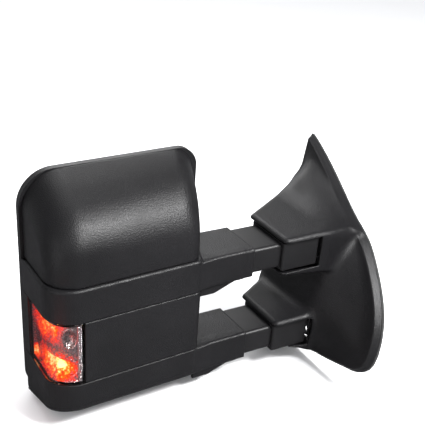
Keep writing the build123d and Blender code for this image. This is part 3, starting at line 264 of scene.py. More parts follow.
plastic("grained_black_plastic", (0.0062, 0.0060, 0.0067), worn=(0.03, 0.03, 0.032), rough=0.40,
        grain=1050.0, depth=0.00038, radius=0.0009, spec=0.25)
plastic("dark_plastic", (0.018, 0.018, 0.019), worn=(0.06, 0.06, 0.06), rough=0.38,
        grain=1500.0, depth=0.00003, radius=0.0006, pebble=False)
plastic("acetal", (0.52, 0.52, 0.49), worn=(0.7, 0.7, 0.67), rough=0.35,
        grain=1500.0, depth=0.00002, radius=0.0005, pebble=False, var=0.08)
metal("die_cast", (0.42, 0.43, 0.45), rough=0.45, speckle=0.35, depth=0.00006, scale=700.0,
      radius=0.001)
metal("zinc_steel", (0.62, 0.62, 0.58), rough=0.3, speckle=0.3, tint=(0.66, 0.6, 0.42))
metal("spring_steel", (0.3, 0.3, 0.31), rough=0.3, speckle=0.4)
plastic("coated_tube", (0.0072, 0.0070, 0.0075), worn=(0.06, 0.06, 0.06), rough=0.36,
        grain=800.0, depth=0.00005, radius=0.0009)
plastic("coated_cast", (0.0072, 0.0070, 0.0075), worn=(0.06, 0.06, 0.06), rough=0.38,
        grain=700.0, depth=0.00007, radius=0.0013)
plastic("foam", (0.03, 0.03, 0.03), worn=(0.05, 0.05, 0.05), rough=0.85,
        grain=420.0, depth=0.0003, radius=0.0008, spec=0.2)
plastic("cable_rubber", (0.014, 0.014, 0.014), worn=(0.04, 0.04, 0.04), rough=0.55,
        grain=900.0, depth=0.00004, radius=0.0006, pebble=False)
plastic("circuit_board", (0.02, 0.12, 0.05), worn=(0.2, 0.16, 0.08), rough=0.3,
        grain=300.0, depth=0.00002, radius=0.0003, pebble=False)
plastic("heater_film", (0.32, 0.16, 0.07), worn=(0.5, 0.3, 0.16), rough=0.3,
        grain=500.0, depth=0.00002, radius=0.0003, pebble=False)
metal("motor_can", (0.55, 0.55, 0.56), rough=0.3, brushed=(1, 12, 1))
metal("reflector_chrome", (0.82, 0.82, 0.83), rough=0.12, speckle=0.08, scale=220.0)
mirror_silver("mirror_glass")
clear_lens("lens_red")
glow("lamp_glow", (1.0, 0.62, 0.16), strength=5.0)

# CAD nodes that take each material
FINISHES = {
    "grained_black_plastic": ["base_cover", "upper_band", "lower_band", "front_panel", "skull_cap",
                              "bezel", "blank_panel"],
    "acetal": ["slide_bushes", "upper_friction_washer", "lower_friction_washer", "actuator_gears",
               "yaw_plunger", "pitch_plunger", "locating_peg"],
    "die_cast": ["base_bracket"],
    "coated_cast": ["upper_pivot_block", "lower_pivot_block"],
    "coated_tube": ["upper_arm_tube", "lower_arm_tube"],
    "zinc_steel": ["mounting_studs", "stud_nuts", "cover_screws", "upper_fold_pin",
                   "lower_fold_pin", "stop_screws", "frame_screws", "upper_pivot_ball",
                   "upper_pivot_pin", "spotter_ball", "spotter_pin"],
    "spring_steel": ["upper_fold_spring", "lower_fold_spring"],
    "foam": ["door_gasket"],
    "cable_rubber": ["harness_grommet", "door_harness", "arm_cable", "head_loom"],
    "circuit_board": ["signal_board"],
    "heater_film": ["upper_heater", "spotter_heater"],
    "motor_can": ["actuator_motors"],
    "reflector_chrome": ["signal_reflector"],
    "mirror_glass": ["upper_glass", "spotter_glass"],
    "lens_red": ["signal_lens"],
    "lamp_glow": ["signal_bulbs"],
}
finish_of = {node: finish for finish, nodes in FINISHES.items() for node in nodes}
for name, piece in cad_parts.items():
    # the housings, holders and other nodes not listed are dark plastic
    piece.data.materials.clear()
    piece.data.materials.append(MATERIALS[finish_of.get(name, "dark_plastic")])


def dress(piece, body, slot, *nodes, material=None):
    """Gives a new piece its finish and body, and hides the CAD nodes it stands for."""
    piece.data.materials.clear()
    piece.data.materials.append(MATERIALS[material or slot])
    shading = piece.modifiers.new("shading", "WEIGHTED_NORMAL")
    shading.keep_sharp = True
    shading.weight = 60
    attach(piece, body)
    if nodes:
        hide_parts(*nodes)


# ------------------------------------------------------------------ outlines
def between(knots, i, j, t, first, second):
    """Point at t on the line that meets the first point at knot i and the second at knot j."""
    span = knots[j] - knots[i]
    return (knots[j] - t) / span * first + (t - knots[i]) / span * second


def curve(points, steps):
    """Points along an open centripetal Catmull-Rom curve through the given points."""
    points = [np.array(point, float) for point in points]
    last = len(points) - 1
    out = []
    for i in range(last):
        start, end = points[i], points[i + 1]
        before = points[i - 1] if i > 0 else start * 2 - end
        after = points[i + 2] if i + 2 <= last else end * 2 - start
        knots = [0.0]
        for first, second in ((before, start), (start, end), (end, after)):
            knots.append(knots[-1] + max(np.linalg.norm(second - first), 1e-6) ** 0.5)
        for k in range(steps):
            t = knots[1] + (knots[2] - knots[1]) * k / steps
            line1 = between(knots, 0, 1, t, before, start)
            line2 = between(knots, 1, 2, t, start, end)
            line3 = between(knots, 2, 3, t, end, after)
            bend1 = between(knots, 0, 2, t, line1, line2)
            bend2 = between(knots, 1, 3, t, line2, line3)
            out.append(tuple(between(knots, 1, 2, t, bend1, bend2)))
    out.append(tuple(points[-1]))
    return out


def round_poly(points, radii, steps=7):
    """Polygon with its corners rounded, by one radius or a list of them."""
    out = []
    count = len(points)
    if not isinstance(radii, (tuple, list)):
        radii = [radii] * count
    for i in range(count):
        before, corner, after = (np.array(points[j % count], float) for j in (i - 1, i, i + 1))
        back = (before - corner) / np.linalg.norm(before - corner)
        ahead = (after - corner) / np.linalg.norm(after - corner)
        angle = math.acos(max(-1, min(1, float(back @ ahead))))
        radius = radii[i]
        if radius < 0.05 or abs(angle - math.pi) < 0.02:
            out.append(tuple(corner))
            continue
        # the arc may take up just under half of either side
        cut = radius / math.tan(angle / 2)
        cut = min(cut, 0.49 * min(np.linalg.norm(before - corner), np.linalg.norm(after - corner)))
        radius = cut * math.tan(angle / 2)
        middle = (back + ahead) / np.linalg.norm(back + ahead)
        centre = corner + middle * (radius / math.sin(angle / 2))
        start, end = corner + back * cut - centre, corner + ahead * cut - centre
        turn0, turn1 = math.atan2(start[1], start[0]), math.atan2(end[1], end[0])
        sweep = (turn1 - turn0 + math.pi) % (2 * math.pi) - math.pi
        for k in range(steps + 1):
            turn = turn0 + sweep * k / steps
            out.append((centre[0] + radius * math.cos(turn), centre[1] + radius * math.sin(turn)))
    return out


# ------------------------------------------------------------------ distance fields
# A field is negative inside. Fields along fewer axes are spread over the grid when combined.
def poly(u, v, points):
    """Signed distance from a closed polygon in the plane of u and v."""
    u = np.asarray(u, np.float32)
    v = np.asarray(v, np.float32)
    shape = np.broadcast(u, v).shape
    nearest = np.full(shape, 1e12, np.float32)
    inside = np.zeros(shape, bool)
    count = len(points)
    for i in range(count):
        u0, v0 = points[i]
        u1, v1 = points[(i + 1) % count]
        du, dv = u1 - u0, v1 - v0
        length2 = du * du + dv * dv
        if length2 < 1e-9:
            continue
        from_u, from_v = u - np.float32(u0), v - np.float32(v0)
        t = (from_u * np.float32(du) + from_v * np.float32(dv)) / np.float32(length2)
        t = np.clip(t, 0, 1)
        off_u, off_v = from_u - t * np.float32(du), from_v - t * np.float32(dv)
        nearest = np.minimum(nearest, off_u * off_u + off_v * off_v)
        if abs(v1 - v0) > 1e-9:
            crosses = (v0 > v) != (v1 > v)
            inside ^= crosses & (u < u0 + from_v * np.float32(du / (v1 - v0)))
    return np.where(inside, -1, 1).astype(np.float32) * np.sqrt(nearest)


def edge_round(first, second, radius):
    """Intersection of two fields with a round edge."""
    over1, over2 = np.maximum(first + radius, 0), np.maximum(second + radius, 0)
    return (np.minimum(np.maximum(first + radius, second + radius), 0)
            + np.sqrt(over1 * over1 + over2 * over2) - radius)


def smax(first, second, width):
    """Intersection blended over a width."""
    near = np.maximum(width - np.abs(first - second), 0) / width
    return np.maximum(first, second) + near * near * width * 0.25


def smin(first, second, width):
    """Union blended over a width."""
    return -smax(-first, -second, width)


def step01(value, start, end):
    t = np.clip((value - start) / (end - start), 0, 1)
    return t * t * (3 - 2 * t)


class Grid:
    """Regular grid in millimetres, with x, y and z as arrays that broadcast together."""

    def __init__(self, low, high, step):
        self.step = step
        self.low = np.array(low, float) - 2.5 * step
        size = np.array(high, float) + 2.5 * step - self.low
        self.count = np.ceil(size / step).astype(int) + 1
        axes = [(self.low[i] + step * np.arange(self.count[i])).astype(np.float32)
                for i in range(3)]
        self.x, self.y, self.z = axes[0][:, None, None], axes[1][None, :, None], axes[2][None, None]


THIN_RATIO = 0.3  # share of the faces kept in a shell


def surface(name, grid, field, to_world=None):
    """Closed mesh of the field's zero surface: one vertex in each crossed cell, then thinned."""
    count = grid.count
    field = np.broadcast_to(field, tuple(count)).astype(np.float32)
    solid = field < 0
    corners = list(np.ndindex(2, 2, 2))
    full = np.zeros(tuple(count - 1), np.uint8)
    for i, j, k in corners:
        full += solid[i:count[0] - 1 + i, j:count[1] - 1 + j, k:count[2] - 1 + k]
    crossed = (full > 0) & (full < 8)
    cells = np.argwhere(crossed)
    index = -np.ones(tuple(count - 1), np.int64)
    index[crossed] = np.arange(len(cells))
    values = {corner: field[tuple((cells + np.array(corner)).T)] for corner in corners}
    # each vertex is the mean of the places where its cell's edges cross the surface
    total = np.zeros((len(cells), 3))
    hits = np.zeros(len(cells))
    for corner, value in values.items():
        for axis in range(3):
            if corner[axis]:
                continue
            other = list(corner)
            other[axis] = 1
            value2 = values[tuple(other)]
            hit = (value < 0) != (value2 < 0)
            point = np.zeros((len(cells), 3)) + np.array(corner)
            point[:, axis] = np.where(hit, value / np.where(hit, value - value2, 1), 0)
            total += point * hit[:, None]
            hits += hit
    vertices = grid.low + (cells + total / hits[:, None]) * grid.step
    # one quad round each grid edge that crosses the surface
    quads = []
    for axis in range(3):
        side1, side2 = (axis + 1) % 3, (axis + 2) % 3
        near, far = [slice(None)] * 3, [slice(None)] * 3
        near[axis], far[axis] = slice(0, -1), slice(1, None)
        first = solid[tuple(near)]
        edges = np.argwhere(first != solid[tuple(far)])
        edges = edges[(edges[:, side1] > 0) & (edges[:, side2] > 0)
                      & (edges[:, side1] < count[side1] - 1)
                      & (edges[:, side2] < count[side2] - 1)]
        step1, step2 = np.zeros(3, int), np.zeros(3, int)
        step1[side1], step2[side2] = 1, 1
        around = (edges - step1 - step2, edges - step2, edges, edges - step1)
        quad = np.stack([index[tuple(cell.T)] for cell in around], 1)
        flip = ~first[tuple(edges.T)]
        quad[flip] = quad[flip][:, ::-1]
        quads.append(quad)
    if to_world is not None:
        vertices = to_world(vertices)
    piece = mesh_object(name, vertices, np.concatenate(quads).tolist())
    piece.modifiers.new("thin", "DECIMATE").ratio = THIN_RATIO
    depsgraph = bpy.context.evaluated_depsgraph_get()
    thinned = bpy.data.meshes.new_from_object(piece.evaluated_get(depsgraph))
    piece.modifiers.clear()
    piece.data = thinned
    thinned.name = name
    thinned.shade_smooth()
    return piece


# ------------------------------------------------------------------ head shells
HEAD_STEP = 1.1         # grid step of the bands and the panel
OUT_X = -419.0          # outboard wall
IN_REAR_X = -193.0      # inboard wall at RIM_Y
IN_FRONT_X = -228.0     # inboard wall at the front
RIM_Y = 64.0
SHELL_Y = 50.0          # rear edge of the shells
FRONT_OUT_Y = -49.5     # front wall at its outboard end
FRONT_IN_Y = -40.0      # front wall at its inboard end
OUT_RADIUS = 34.0       # front corners in plan
IN_RADIUS = 10.0
CAP_Z = 84.6            # lower edge of the cap
INSET = 3.6             # cap's side walls lie this far inside the bands
WALL = 2.6
IN_SLOPE = (IN_REAR_X - IN_FRONT_X) / (RIM_Y - FRONT_IN_Y)
UPPER_BAND_Z = 41.4     # lower edge of the upper band
LOWER_BAND_Z = -41.3    # upper edge of the lower band
SLEEVE_Z = 61.5         # arm sleeves lie at this height above and below the middle
SLEEVE_X = -242.25      # middle of the sleeves
SLEEVE_HALF = 90.75     # half their length
# side profile of the cap: y, z
CAP_SIDE = [(-45.9, 60), (-45.9, 83.6), (-45.5, 108), (-41.5, 129), (-31, 148), (-15, 163),
            (8, 175.5), (34, 185), (62, 192.0), (110, 197)]
CAP_SIDE_REST = [(150, 197), (150, 20), (-45.9, 20)]


def head_plan(grid):
    """Field of the head's outline in plan, which runs on far to the rear."""
    far = 140.0
    points = [(IN_REAR_X + (far - RIM_Y) * IN_SLOPE, far), (IN_FRONT_X, FRONT_IN_Y),
              (OUT_X, FRONT_OUT_Y), (OUT_X, far)]
    return poly(grid.x, grid.y, round_poly(points, [0, IN_RADIUS, OUT_RADIUS, 0], 12))


def make_cap():
    """Cap: the side profile is swept between the side walls, and its corners roll into them."""
    grid = Grid((-419, -52, 80), (-180, 52, 196), 1.15)
    # the profile moves rearward towards the inboard end, and its crown varies along the head
    share = (grid.x - (OUT_X + INSET)) / 190.0
    back = step01(grid.y, -46.0, 45.0)
    crown = 1.5 * ((grid.x + 296.0) / 118.0) ** 2 - 2.4 * (grid.x + 306.0) / 113.0
    y = grid.y - 9.3 * share * (1 - back)
    z = grid.z + crown * back
    # distance from the profile, read from a table with 1 mm spacing
    table_y = np.arange(-70, 101).astype(np.float32)
    table_z = np.arange(70, 211).astype(np.float32)
    table = poly(table_y[:, None], table_z[None, :], curve(CAP_SIDE, 6) + CAP_SIDE_REST)
    y = np.clip(y + 70, 0, 169.99)
    z = np.clip(z - 70, 0, 139.99)
    row, column = y.astype(int), z.astype(int)
    part_y, part_z = y - row, z - column
    side = (table[row, column] * (1 - part_y) * (1 - part_z)
            + table[row + 1, column] * part_y * (1 - part_z)
            + table[row, column + 1] * (1 - part_y) * part_z
            + table[row + 1, column + 1] * part_y * part_z).astype(np.float32)
    outboard = (OUT_X + INSET) - grid.x
    inboard = ((grid.x - (IN_REAR_X - INSET + (grid.y - RIM_Y) * IN_SLOPE))
               / math.hypot(1.0, IN_SLOPE))
    # the corners grow rounder with height
    up = step01(grid.z, 100.0, 165.0)
    body = edge_round(side, outboard, 36.0 + 7.0 * up)
    body = edge_round(body, inboard, 12.0 + 13.0 * up)
    shell = np.maximum(body, -(body + WALL))
    shell = edge_round(shell, CAP_Z - grid.z, 1.1)
    shell = edge_round(shell, grid.y - SHELL_Y, 0.6)
    return surface("skull_cap_shell", grid, shell)


def sleeve_section(grid, middle_z, half_y, half_z, radius):
    points = [(-half_y, middle_z - half_z), (half_y, middle_z - half_z),
              (half_y, middle_z + half_z), (-half_y, middle_z + half_z)]
    return poly(grid.y, grid.z, round_poly(points, radius))


def sleeve_fields(grid, middle_z):
    """Sleeve with its gusset and the front face that runs out to the band, and its bore."""
    along = np.abs(grid.x - SLEEVE_X)
    box = sleeve_section(grid, middle_z, 35, 20, 4.0)
    box = edge_round(box, along - SLEEVE_HALF, 1.2)
    # gusset under the sleeve: x, drop below the middle, corner radius
    outline = [(-158, 16, 0), (-170, 20, 6), (-196, 30, 8), (-204, 33, 8), (-238, 33, 0),
               (-238, 16, 0)]
    gusset = poly(grid.x, grid.z, round_poly([(x, middle_z - drop) for x, drop, _ in outline],
                                             [radius for _, _, radius in outline]))
    gusset = edge_round(gusset, np.abs(grid.y) - 31, 1.2)
    front = poly(grid.x, grid.y, [(-160, -20), (-165, -35), (-205, -35.8), (-232, -39.5),
                                  (-232, -20)])
    front = edge_round(front, np.abs(grid.z - middle_z) - 19.5, 2.5)
    sleeve = smin(smin(box, gusset, 3.0), front, 1.5)
    bore = sleeve_section(grid, middle_z, 33.3, 18.3, 3.0)
    return sleeve, np.maximum(bore, along - (SLEEVE_HALF + 5))


def make_upper_band():
    grid = Grid((-419, -52, 24), (-151, 52, 88), HEAD_STEP)
    outer = head_plan(grid)
    # the top of the band rolls over in a soft bevel that carries the cap
    top = edge_round(outer, grid.z - 84.2, 3.6)
    ring = np.maximum(top, -(outer + WALL))
    ring = edge_round(ring, UPPER_BAND_Z - grid.z, 0.6)
    ledge = np.maximum(np.maximum(top, -(outer + INSET + 3.4)), 81.2 - grid.z)
    ring = np.minimum(ring, np.maximum(ledge, grid.y - 43.0))
    ring = edge_round(ring, grid.y - SHELL_Y, 0.5)
    sleeve, bore = sleeve_fields(grid, SLEEVE_Z)
    # the sleeve stays above the panel inside the head
    inside = np.maximum(outer - 0.4, grid.z - UPPER_BAND_Z)
    sleeve = np.maximum(sleeve, -inside)
    return surface("upper_band_shell", grid, np.maximum(np.minimum(ring, sleeve), -bore))


def make_lower_band():
    grid = Grid((-419, -52, -112), (-151, 52, -38), HEAD_STEP)
    outer = head_plan(grid)
    # the underside drops towards the rear: y, z
    side = poly(grid.y, grid.z, [(-90, 30), (-90, -81), (-44, -81), (SHELL_Y, -107.5),
                                 (90, -118.8), (90, 30)])
    body = edge_round(outer, side, 6.0)
    # thin groove just above the lower edge
    lip = side + 7.0
    body = body + 0.9 * np.exp(-(lip * lip) / 1.1) * (body > -1.6)
    shell = np.maximum(body, -(smax(outer, side, 4.0) + WALL))
    shell = edge_round(shell, grid.z - LOWER_BAND_Z, 0.8)
    shell = edge_round(shell, grid.y - SHELL_Y, 0.5)
    sleeve, bore = sleeve_fields(grid, -SLEEVE_Z)
    under = np.maximum(outer + WALL + 0.5, grid.z + 81.5)
    sleeve = np.maximum(sleeve, -under)
    return surface("lower_band_shell", grid, np.maximum(np.minimum(shell, sleeve), -bore))


def make_panel():
    """Front panel between the bands, with an upright rib behind its outboard edge."""
    grid = Grid((-385, -52, -42), (-186, 52, 42), HEAD_STEP)
    outer = head_plan(grid)
    shell = np.maximum(outer, -(outer + WALL))
    shell = edge_round(shell, np.abs(grid.z - 0.05) - 41.0, 0.8)
    shell = edge_round(shell, -380.7 - grid.x, 0.6)
    shell = edge_round(shell, grid.y - SHELL_Y, 0.5)
    rib = np.maximum(np.abs(grid.x + 377.5) - 1.5, np.abs(grid.y + 42) - 4.5)
    rib = np.maximum(rib, np.abs(grid.z) - 40)
    shell = np.minimum(shell, np.maximum(rib, outer + 1.0))
    return surface("front_panel_shell", grid, shell)


# ------------------------------------------------------------------ base cover
LEAN = math.radians(20.0)  # the door leans inboard with height
COS_LEAN, SIN_LEAN = math.cos(LEAN), math.sin(LEAN)
PIVOT_X = -75.0            # upright fold axis, at y = 0
BASE_STEP = 1.35
BLUR_CELLS = 18            # reach of the blur on the flank, in grid steps
CURVED_POINTS = 15         # the first points of each outline below lie on a curve
# outline of the sail, and of the raised web within it: y, z
SAIL = [(137, 149), (89, 130), (33, 103), (-10, 82), (-47, 66), (-77, 45), (-103, 22),
        (-121, 2), (-136, -23), (-144, -50), (-142.5, -68), (-128, -82), (-101, -89),
        (-63, -97), (-27, -102), (50, -106), (94, -107), (107, -98), (113, -40), (117, 40),
        (120, 80), (126, 108)]
WEB = [(90, 92), (72, 90), (40, 86), (14, 80), (-6, 70), (-20, 52), (-27, 34), (-30, 14),
       (-32, -10), (-32, -34), (-31, -56), (-27, -74), (-16, -84), (0, -88), (16, -90),
       (50, -92), (74, -92), (82, -86), (86, -40), (88, 30), (89, 62), (90, 80)]
# hood over each arm's root: height of its middle, then x, y, corner radius
HOODS = (
    (SLEEVE_Z, [(-112.0, -42.0, 9), (-40.0, -42.0, 14), (-10.0, -38.0, 14), (28.0, -32.0, 2),
                (28.0, 119.0, 2), (14.0, 119.0, 2), (-112.0, 43.5, 9)]),
    (-SLEEVE_Z, [(-112.0, -42.0, 9), (26.0, -42.0, 4), (26.0, 119.0, 2), (14.0, 119.0, 2),
                 (-112.0, 43.5, 9)]),
)
# opening for each arm, rear and front parts: x, y
OPENING_REAR = [(-150, 0), (-53.0, 0), (-53.0, 10), (-38, 20), (-38, 110), (-150, 110)]
OPENING_FRONT = [(-150, -70), (-53.0, -70), (-53.0, 2), (-150, 2)]


def door_outline(outline):
    """Outline in door coordinates: forward, up the door."""
    points = [(-y, z / COS_LEAN) for y, z in outline]
    return curve(points[:CURVED_POINTS], 5) + points[CURVED_POINTS:]


def blurred(height):
    kernel = np.exp(-0.5 * (np.arange(-BLUR_CELLS, BLUR_CELLS + 1) * BASE_STEP / 8.0) ** 2)
    kernel /= kernel.sum()
    flat = np.pad(height, BLUR_CELLS, mode="edge")
    for axis in (0, 1):
        flat = np.apply_along_axis(np.convolve, axis, flat, kernel, "same")
    inner = slice(BLUR_CELLS, -BLUR_CELLS)
    return flat[inner, inner].astype(np.float32)


def door_to_world(vertices):
    ahead, up, out = vertices[:, 0], vertices[:, 1], vertices[:, 2]
    return np.stack([-COS_LEAN * out + SIN_LEAN * up, -ahead, SIN_LEAN * out + COS_LEAN * up], 1)


def make_base():
    """Sail cover, on a grid in door coordinates: forward, up the door, outboard."""
    grid = Grid((-140, -122, 2.5), (146, 162, 138), BASE_STEP)
    ahead, up, out = grid.x, grid.y, grid.z
    sail = poly(ahead, up, door_outline(SAIL))
    web = poly(ahead, up, door_outline(WEB))
    x = -COS_LEAN * out + SIN_LEAN * up
    y = -ahead
    z = SIN_LEAN * out + COS_LEAN * up
    # rim: bevelled edge of the sail
    rim = np.maximum(sail + (out - 4.0) * 0.6, out - 14.0) / 1.1
    rim = smax(sail, rim, 1.5)
    # flank: rises from the rim to the web in a hollow sweep
    from_rim, to_web = np.maximum(-(sail + 8.0), 0), np.maximum(web, 0)
    t = from_rim / np.maximum(from_rim + to_web, 1e-3)
    t = np.where(sail > -8, 0, t)
    rise = 12.0 + 30.0 * (0.8 * t + 0.2 * t * t * (3 - 2 * t))
    rise = blurred(rise[:, :, 0])[:, :, None]
    mound = np.maximum((out - rise) * 0.72, sail + 6.0)
    body = smin(rim, mound, 4.0)
    for middle_z, outline in HOODS:
        points = [point[:2] for point in outline]
        hood = poly(x, y, round_poly(points, [point[2] for point in outline], 6))
        under = np.interp(x, [-130.0, -40.0, 60.0],
                          [middle_z - 22.4, middle_z - 33.0, middle_z - 38.0])
        hood = edge_round(hood, z - (middle_z + 27.0), 7.0)
        hood = edge_round(hood, under.astype(np.float32) - z, 3.5)
        width = 9.0
        if middle_z > 0:
            width = 10.0 + 16.0 * step01(z, middle_z + 10.0, middle_z + 30.0)
        body = smin(body, hood, width)
    # nothing stands proud of the sail's outline
    limit = sail + 0.02 * np.maximum(out - 14.0, 0.0)
    body = smax(body, limit, 1.2 + 9.0 * step01(out, 12.0, 34.0))
    shell = np.maximum(body, -(body + WALL))
    from_pivot = np.sqrt((x - PIVOT_X) ** 2 + y ** 2)
    for middle_z in (SLEEVE_Z, -SLEEVE_Z):
        opening = np.minimum(poly(x, y, OPENING_REAR), poly(x, y, OPENING_FRONT))
        opening = np.minimum(opening, from_pivot - 35.5)
        opening = np.maximum(opening, np.abs(z - middle_z) - 21.0)
        shell = edge_round(shell, -opening, 0.8)
        # curved lip that closes the gap inboard of the pivot
        lip = np.maximum(np.abs(from_pivot - 44.4) - 1.0, -52.5 - x)
        lip = np.maximum(lip, np.maximum(np.abs(z - middle_z) - 23.0, y - 30.0))
        shell = np.minimum(shell, np.maximum(lip, body + 1.0))
    shell = edge_round(shell, 4.05 - out, 0.6)
    return surface("base_cover_shell", grid, shell, door_to_world)


for make, body, node in ((make_cap, "head", "skull_cap"),
                         (make_upper_band, "head", "upper_band"),
                         (make_lower_band, "head", "lower_band"),
                         (make_panel, "head", "front_panel"),
                         (make_base, "base", "base_cover")):
    dress(make(), body, "grained_black_plastic", node)


# ------------------------------------------------------------------ lamp behind the clear lens
# Places in the lamp are given by the share of the way along the lens, from its front end
# round to the side, the depth below its surface, and z.
LENS_LENGTH = 106.0
LENS_FLAT = 3.5                # flat part on the front
LENS_BEND = 53.4               # length round the corner
LENS_X, LENS_Y = OUT_X + OUT_RADIUS, -15.4  # centre of the corner
REFLECTOR_HALF = 38.6          # half height
# bowls of the reflector: share, z, half width along the lens, half height, depth
BOWLS = ((0.42, -21.5, 38.0, 15.5, 10.0), (0.64, 20.5, 27.0, 15.0, 9.0),
         (0.17, 19.5, 10.5, 12.0, 7.0))
# patches of painted light on the reflector: share, depth, z, reach in metres, power
LIT_PATCHES = ((0.37, 14.0, -22, 0.031, 1.5), (0.64, 12.0, -24, 0.027, 1.2),
               (0.92, 6.0, -31, 0.015, 1.6), (0.49, 13.0, 26, 0.024, 1.95),
               (0.74, 10.0, 19, 0.030, 1.15))
UNLIT_CHAMBER = (0.16, 11.0, 20)
# level of painted light and its colour, between black at 0 and yellow at 1
LIT_COLOURS = ((0.06, (0.10, 0.002, 0.002, 1)), (0.22, (0.62, 0.014, 0.006, 1)),
               (0.45, (0.95, 0.09, 0.006, 1)), (0.68, (1.0, 0.27, 0.02, 1)))
# LED holders: share, z, depth of the LED, its radius
LEDS = ((0.37, -22.0, 13.5, 4.4), (0.50, 25.0, 13.0, 3.9))
LED_SIDES = 28
# half section of an LED and its flange, in LED radii: radius, height
LED_SECTION = ((0.0, 0.6), (0.35, 0.56), (0.7, 0.4), (0.92, 0.15), (1.0, -0.2), (1.0, -0.55),
               (1.25, -0.6), (1.25, -0.95), (0.9, -1.0), (0.0, -1.0))


def lamp_point(share, depth):
    """x and y of a place in the lamp, in millimetres."""
    along = share * LENS_LENGTH
    if along < LENS_FLAT:
        x, y = LENS_X + LENS_FLAT - along, LENS_Y - OUT_RADIUS
        normal_x, normal_y = 0.0, -1.0
    elif along < LENS_FLAT + LENS_BEND:
        turn = (along - LENS_FLAT) / OUT_RADIUS
        normal_x, normal_y = -math.sin(turn), -math.cos(turn)
        x, y = LENS_X + OUT_RADIUS * normal_x, LENS_Y + OUT_RADIUS * normal_y
    else:
        x, y = OUT_X, LENS_Y + (along - (LENS_FLAT + LENS_BEND))
        normal_x, normal_y = -1.0, 0.0
    return x - normal_x * depth, y - normal_y * depth


def lamp_place(share, depth, z):
    """Place in the lamp, in metres."""
    x, y = lamp_point(share, depth)
    return (x * MM, y * MM, z * MM)


def lit_chrome(name):
    """Plating with the lamp's light painted on as glow: yellow heart, orange bowl, red fringe, one
    chamber silver.
    """
    mat = Material(name)
    cells = mat.voronoi(scale=330.0)
    fine = mat.noise(scale=520.0)
    silver = mat.mix(mat.ramp(fine), (0.42, 0.40, 0.40), (0.80, 0.78, 0.77))
    mat.set("Metallic", 1.0)
    mat.set("Roughness", mat.ramp(fine, to_low=0.16, to_high=0.34))
    mat.set("Normal", mat.bump(cells, distance=0.0004, strength=0.8))
    total = None
    for share, depth, z, reach, power in LIT_PATCHES:
        away = mat.vector_math("DISTANCE", mat.place, lamp_place(share, depth, z))
        jitter = mat.ramp(cells, low=0.0, high=0.8, to_low=-1, to_high=1)
        away = mat.plus(away, mat.times(jitter, reach * 0.16))
        falloff = mat.math("POWER", mat.ramp(away, low=reach, high=0.0), 1.7)
        light = mat.times(falloff, power)
        total = light if total is None else mat.plus(total, light)
    sparkle = mat.ramp(mat.noise(scale=260.0, detail=4.0, rough=0.7), low=0.35)
    level = mat.times(total, mat.plus(0.45, mat.times(sparkle, 1.0)))
    away = mat.vector_math("DISTANCE", mat.place, lamp_place(*UNLIT_CHAMBER))
    level = mat.times(level, mat.ramp(away, low=0.0105, high=0.019))
    colours = mat.add("ShaderNodeValToRGB", {"Fac": level})
    elements = colours.color_ramp.elements
    elements[0].color = (0.0, 0.0, 0.0, 1)
    elements[1].color = (1.0, 0.80, 0.28, 1)
    for position, colour in LIT_COLOURS:
        elements.new(position).color = colour
    lit = mat.ramp(level, low=0.05, high=0.3)
    mat.set("Base Color", mat.mix(lit, silver, (0.09, 0.006, 0.002)))
    # the lamp's light on the plating is painted here as glow
    mat.set("Emission Color", colours.outputs["Color"])
    mat.set("Emission Strength", 2.1)


def reflector_depth(along, z):
    """Depth of the reflector's face below the lens."""
    depth = 8.0
    for share, bowl_z, half_width, half_height, bowl_depth in BOWLS:
        side = along - share * LENS_LENGTH
        away = math.hypot(side * half_height / half_width, z - bowl_z)
        inside = max(0.0, 1 - (away / half_height) ** 2)
        depth += bowl_depth * inside ** 0.75
        if inside > 0:
            # stepped rays round the bowl
            ray = math.sin(math.atan2(z - bowl_z, side) * 14)
            depth += 0.35 * inside * (1 if ray > 0 else -1)
        elif away < half_height + 1.6:
            depth -= 0.9
    depth += 0.35 * abs(math.sin(along * math.pi / 2.6))
    # rolled border
    edge = min(along - 3.7, 102.0 - along, z + REFLECTOR_HALF, REFLECTOR_HALF - z)
    if edge < 2.0:
        depth -= 3.6 * (1 - max(edge, 0) / 2.0)
    return depth


def make_reflector():
    """Plated reflector: bowls pressed into a fluted backing, with a rolled border."""
    columns, rows = 150, 118
    vertices, faces = [], []
    for i in range(columns + 1):
        share = 0.035 + 0.93 * i / columns
        for j in range(rows + 1):
            z = -REFLECTOR_HALF + 2 * REFLECTOR_HALF * j / rows
            vertices.append((*lamp_point(share, reflector_depth(share * LENS_LENGTH, z)), z))
    for i in range(columns):
        for j in range(rows):
            first = i * (rows + 1) + j
            faces.append((first, first + 1, first + rows + 2, first + rows + 1))
    piece = mesh_object("signal_reflector_relief", vertices, faces)
    thickness = piece.modifiers.new("thickness", "SOLIDIFY")
    thickness.thickness = 0.0012
    thickness.offset = 1.0
    # back and rim take the second material
    thickness.material_offset = 1
    thickness.material_offset_rim = 1
    piece.data.shade_smooth()
    return piece


